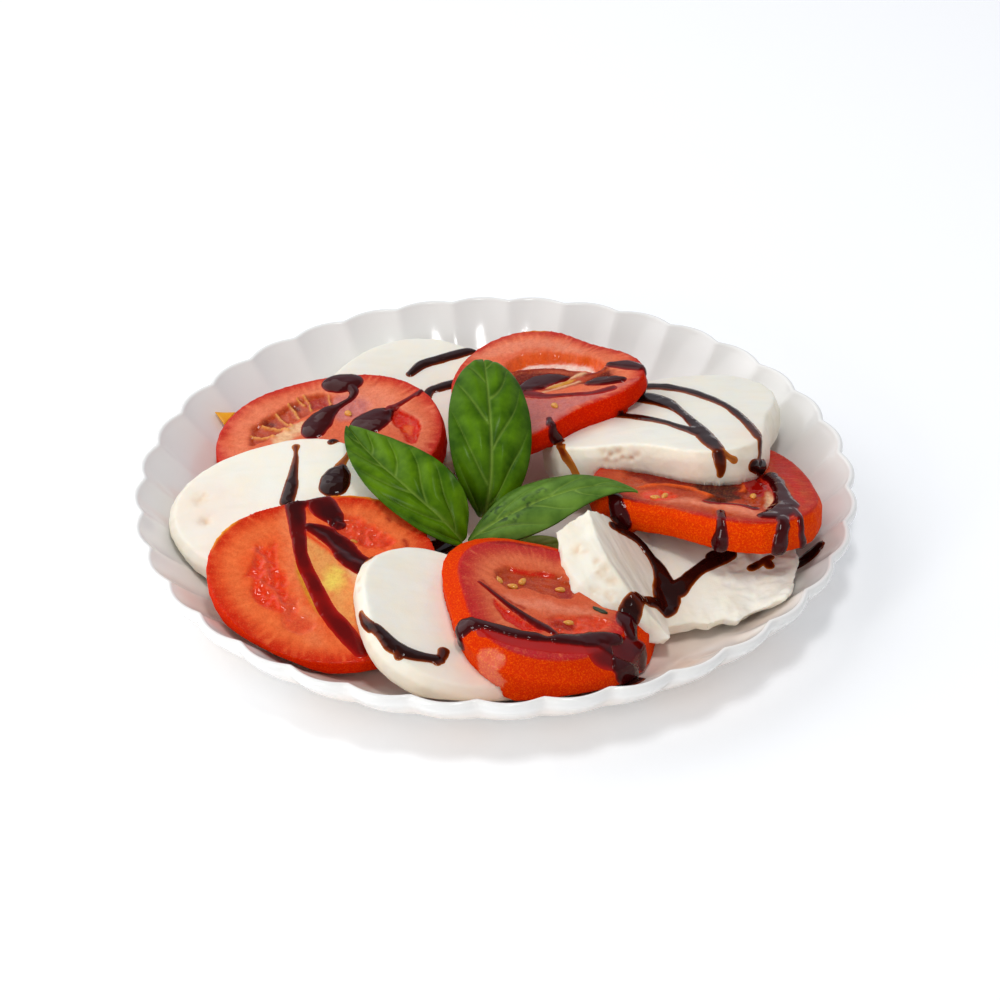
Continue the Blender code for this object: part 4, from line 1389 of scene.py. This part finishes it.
# Upper and lower skin of the glaze over a part of the surface, and its depth there
def glazeSkins(part, laid):
    corners = np.array([v.co for v in part.verts]) / mm
    edges = np.array([[v.index for v in edge.verts] for edge in part.edges])
    normals = evened(np.array([v.normal for v in part.verts]), edges, 14)
    normals /= np.maximum(np.linalg.norm(normals, axis=1), 1e-6)[:, None]
    share, half, thick = glazeOn(corners, laid)
    share = share * (1 + 0.07 * noiseAt(corners, 3.5, 61) + 0.03 * noiseAt(corners, 1.5, 62))
    thick = thick * (1 + 0.45 * roughNoise(corners, 5, 63))
    body = np.minimum(thick, half * 0.5) * np.clip(1 - share ** 2.4, 0, 1) ** 0.62
    body = evened(body[:, None], edges, 6)[:, 0]
    flowed = evened(corners, edges, 20)
    level = ((flowed - corners) * normals).sum(1)
    body += np.clip(level, -0.6 * body, 0.9) * smoothStep(body, 0.05, 0.4)
    outside = np.clip((share - 1) * half, 0, glaze["skirt"])
    height = np.where(share < 1, body, np.minimum(body, 0.05) - 0.35 * outside)
    return corners + normals * height[:, None], flowed - normals * glaze["sunk"], body


# Faces of both skins, the lower ones turned over, and of the rim between them
def skinFaces(part, shift):
    count = len(part.verts)
    faces = []
    for face in part.faces:
        ring = [v.index + shift for v in face.verts]
        faces.append(ring)
        faces.append([v + count for v in reversed(ring)])
    for edge in part.edges:
        if edge.is_boundary:
            loop = edge.link_loops[0]
            a, b = loop.vert.index + shift, loop.link_loop_next.vert.index + shift
            faces.append([b, a, a + count, b + count])
    return faces


# Closed shells that hug every surface under the strokes and level themselves over its hollows
def pourGlaze():
    everyLine = laidStrokes()
    allPoints, allFaces, allBody, allRed, shift = [], [], [], [], 0
    redPieces = list(tomatoPieces.values())
    for piece in surfacePieces:
        laid = [line for line, stroke in zip(everyLine, glazeStrokes.values())
                if stroke.get("on", piece.name) == piece.name]
        share, half, _ = glazeOn(pointsOf(piece.data), laid)
        near = (share - 1) * half < glaze["skirt"] + 0.6
        if not near.any():
            continue
        part = surfacePart(piece.data, near)
        upper, lower, body = glazeSkins(part, laid)
        allPoints += [upper, lower]
        allFaces += skinFaces(part, shift)
        allBody += [body, body]
        allRed.append(np.full(2 * len(body), float(piece in redPieces)))
        shift += 2 * len(body)
        part.free()
    mesh = bpy.data.meshes.new("balsamicGlaze")
    mesh.from_pydata((np.vstack(allPoints) * mm).tolist(), [], allFaces)
    paint(mesh, "body", np.concatenate(allBody))
    paint(mesh, "overRed", np.concatenate(allRed))
    return thinned(mesh, glaze["triangles"] / (2 * len(allFaces)), [])


# Amber where it is thin on cheese, wine red where it is thin on tomato, nearly black where it is deep
def balsamic():
    made, tree, shader = startMaterial("balsamic", IOR=1.45, Roughness=0.05, Specular_IOR_Level=0.22)
    body, overRed = mask(tree, "body"), mask(tree, "overRed")
    film, depth = ranged(tree, body, 0.01, 0.2), ranged(tree, body, 0.12, 0.5)
    onCheese = blendColour(tree, film, glaze["thinCheese"], glaze["filmCheese"])
    onTomato = blendColour(tree, film, glaze["thinTomato"], glaze["filmTomato"])
    deep = blendColour(tree, overRed, glaze["deepCheese"], glaze["deepTomato"])
    thin = blendColour(tree, overRed, onCheese, onTomato)
    tree.links.new(blendColour(tree, depth, thin, deep), shader.inputs["Base Color"])
    return made


glazeMesh = pourGlaze()
addPiece("balsamicGlaze", glazeMesh, balsamic(), "glaze")
print("glaze poured:", len(glazeMesh.polygons), "faces")


seedLook = {"length": 3.3, "width": 2.6, "height": 1.9, "colours": (rgb(230, 152, 44), (0.62, 0.28, 0.05))}
down = Vector((0, 0, -1))
aboveAll = 90                  # height from which rays look down on the food


# Teardrop seeds lying in the chambers
def sowSeeds():
    made = bmesh.new()
    for name, look in tomatoSlices.items():
        middle = faceOf(name).middle
        ground = searchTree([tomatoPieces[name].data])
        for x, y, turn in look["seeds"]:
            hit, normal = ground.ray_cast(Vector((middle[0] + x, middle[1] + y, aboveAll)), down)[:2]
            if hit is None:
                continue
            seed = bmesh.ops.create_uvsphere(made, u_segments=20, v_segments=12, radius=0.5)["verts"]
            spin = Euler((0, 0, math.radians(turn))).to_matrix()
            lean = normal.to_track_quat("Z", "Y").to_matrix()
            for vert in seed:
                taper = 1 - 0.45 * (vert.co.x + 0.5)
                local = Vector((vert.co.x * seedLook["length"], vert.co.y * seedLook["width"] * taper,
                                vert.co.z * seedLook["height"] * taper + 0.2))
                vert.co = (hit + lean @ spin @ local) * mm
    return meshOf(made, "tomatoSeeds")


seedCoat = speckledMaterial("seedCoat", seedLook["colours"], (0.8, 0.3), 1.6, Roughness=0.2,
                            Subsurface_Weight=0.2, Subsurface_Scale=0.001)
addPiece("tomatoSeeds", sowSeeds(), seedCoat, "tomato")


skinBit = {
    "corners": [(-90.5, 51.4, 16.2), (-84.2, 53.4, 14.4), (-87.4, 48, 13.4)],
    "thick": 0.5,
    "steps": 10,
    "colours": (rgb(248, 196, 20), rgb(244, 142, 12)),
}


# Curled triangle of tomato skin on the plate's wall
def peelBit():
    a, b, c = [np.array(p, float) for p in skinBit["corners"]]
    up = np.cross(b - a, c - a)
    up *= np.sign(up[2]) / np.linalg.norm(up)
    steps, pairs = skinBit["steps"], {}
    made = bmesh.new()
    for i in range(steps + 1):
        for j in range(steps + 1 - i):
            u, v = i / steps, j / steps
            curl = 1.2 * (u - 0.3) ** 2 + 0.8 * v * (1 - v)
            place = a + (b - a) * u + (c - a) * v + up * curl
            pairs[i, j] = [made.verts.new((place + up * h) * mm) for h in (skinBit["thick"], 0)]
    cells = [((i, j), (i + 1, j), (i, j + 1)) for i in range(steps) for j in range(steps - i)]
    cells += [((i + 1, j), (i + 1, j + 1), (i, j + 1)) for i in range(steps) for j in range(steps - i - 1)]
    for cell in cells:
        made.faces.new([pairs[k][0] for k in cell])
        made.faces.new([pairs[k][1] for k in reversed(cell)])
    rim = [(i, 0) for i in range(steps)] + [(steps - j, j) for j in range(steps)]
    rim += [(0, steps - j) for j in range(steps)]
    for k, n in zip(rim, rim[1:] + rim[:1]):
        made.faces.new((pairs[k][0], pairs[k][1], pairs[n][1], pairs[n][0]))
    return outward(made, "skinBit")


skinBitColour = speckledMaterial("skinBit", skinBit["colours"], (2, 0.5), 1.6, Roughness=0.3)
addPiece("skinBit", peelBit(), skinBitColour, "tomato")


fleck = {
    "place": (30.4, -66.2),
    "heading": -24,            # degrees
    "length": 4.6,
    "width": 1.7,
    "thick": 0.3,
    "steps": 12,
    "colours": (rgb(44, 66, 22), rgb(22, 34, 12)),
}


# Crumb of basil caught beside the torn slice
def herbFleck():
    ground = searchTree([tomatoPieces["tomato_3"].data])
    spin = math.radians(fleck["heading"])
    made = bmesh.new()
    rows = []
    for i in range(fleck["steps"] + 1):
        t = i / fleck["steps"]
        half = fleck["width"] / 2 * (math.sin(math.pi * (0.06 + 0.88 * t)) ** 0.7 + 0.12 * math.sin(11 * t))
        row = []
        for side in (-1, 0, 1):
            along, across = (t - 0.5) * fleck["length"], side * half
            x = fleck["place"][0] + along * math.cos(spin) - across * math.sin(spin)
            y = fleck["place"][1] + along * math.sin(spin) + across * math.cos(spin)
            z = ground.ray_cast(Vector((x, y, aboveAll)), down)[0].z + 0.25 * (1 - abs(side)) + 0.1
            row.append([made.verts.new((x * mm, y * mm, (z + h) * mm)) for h in (fleck["thick"], -0.2)])
        rows.append(row)
    for near, far in zip(rows, rows[1:]):
        for j in (0, 1):
            made.faces.new((near[j][0], far[j][0], far[j + 1][0], near[j + 1][0]))
            made.faces.new((near[j][1], near[j + 1][1], far[j + 1][1], far[j][1]))
        for j in (0, 2):
            made.faces.new((near[j][0], near[j][1], far[j][1], far[j][0]))
    for row in (rows[0], rows[-1]):
        for j in (0, 1):
            made.faces.new((row[j][0], row[j + 1][0], row[j + 1][1], row[j][1]))
    return outward(made, "herbFleck")


wiltedBasil = speckledMaterial("wiltedBasil", fleck["colours"], (1.2, 0.4), 2.0, Roughness=0.4)
addPiece("herbFleck", herbFleck(), wiltedBasil, "basil")
print("seeds and skin placed")
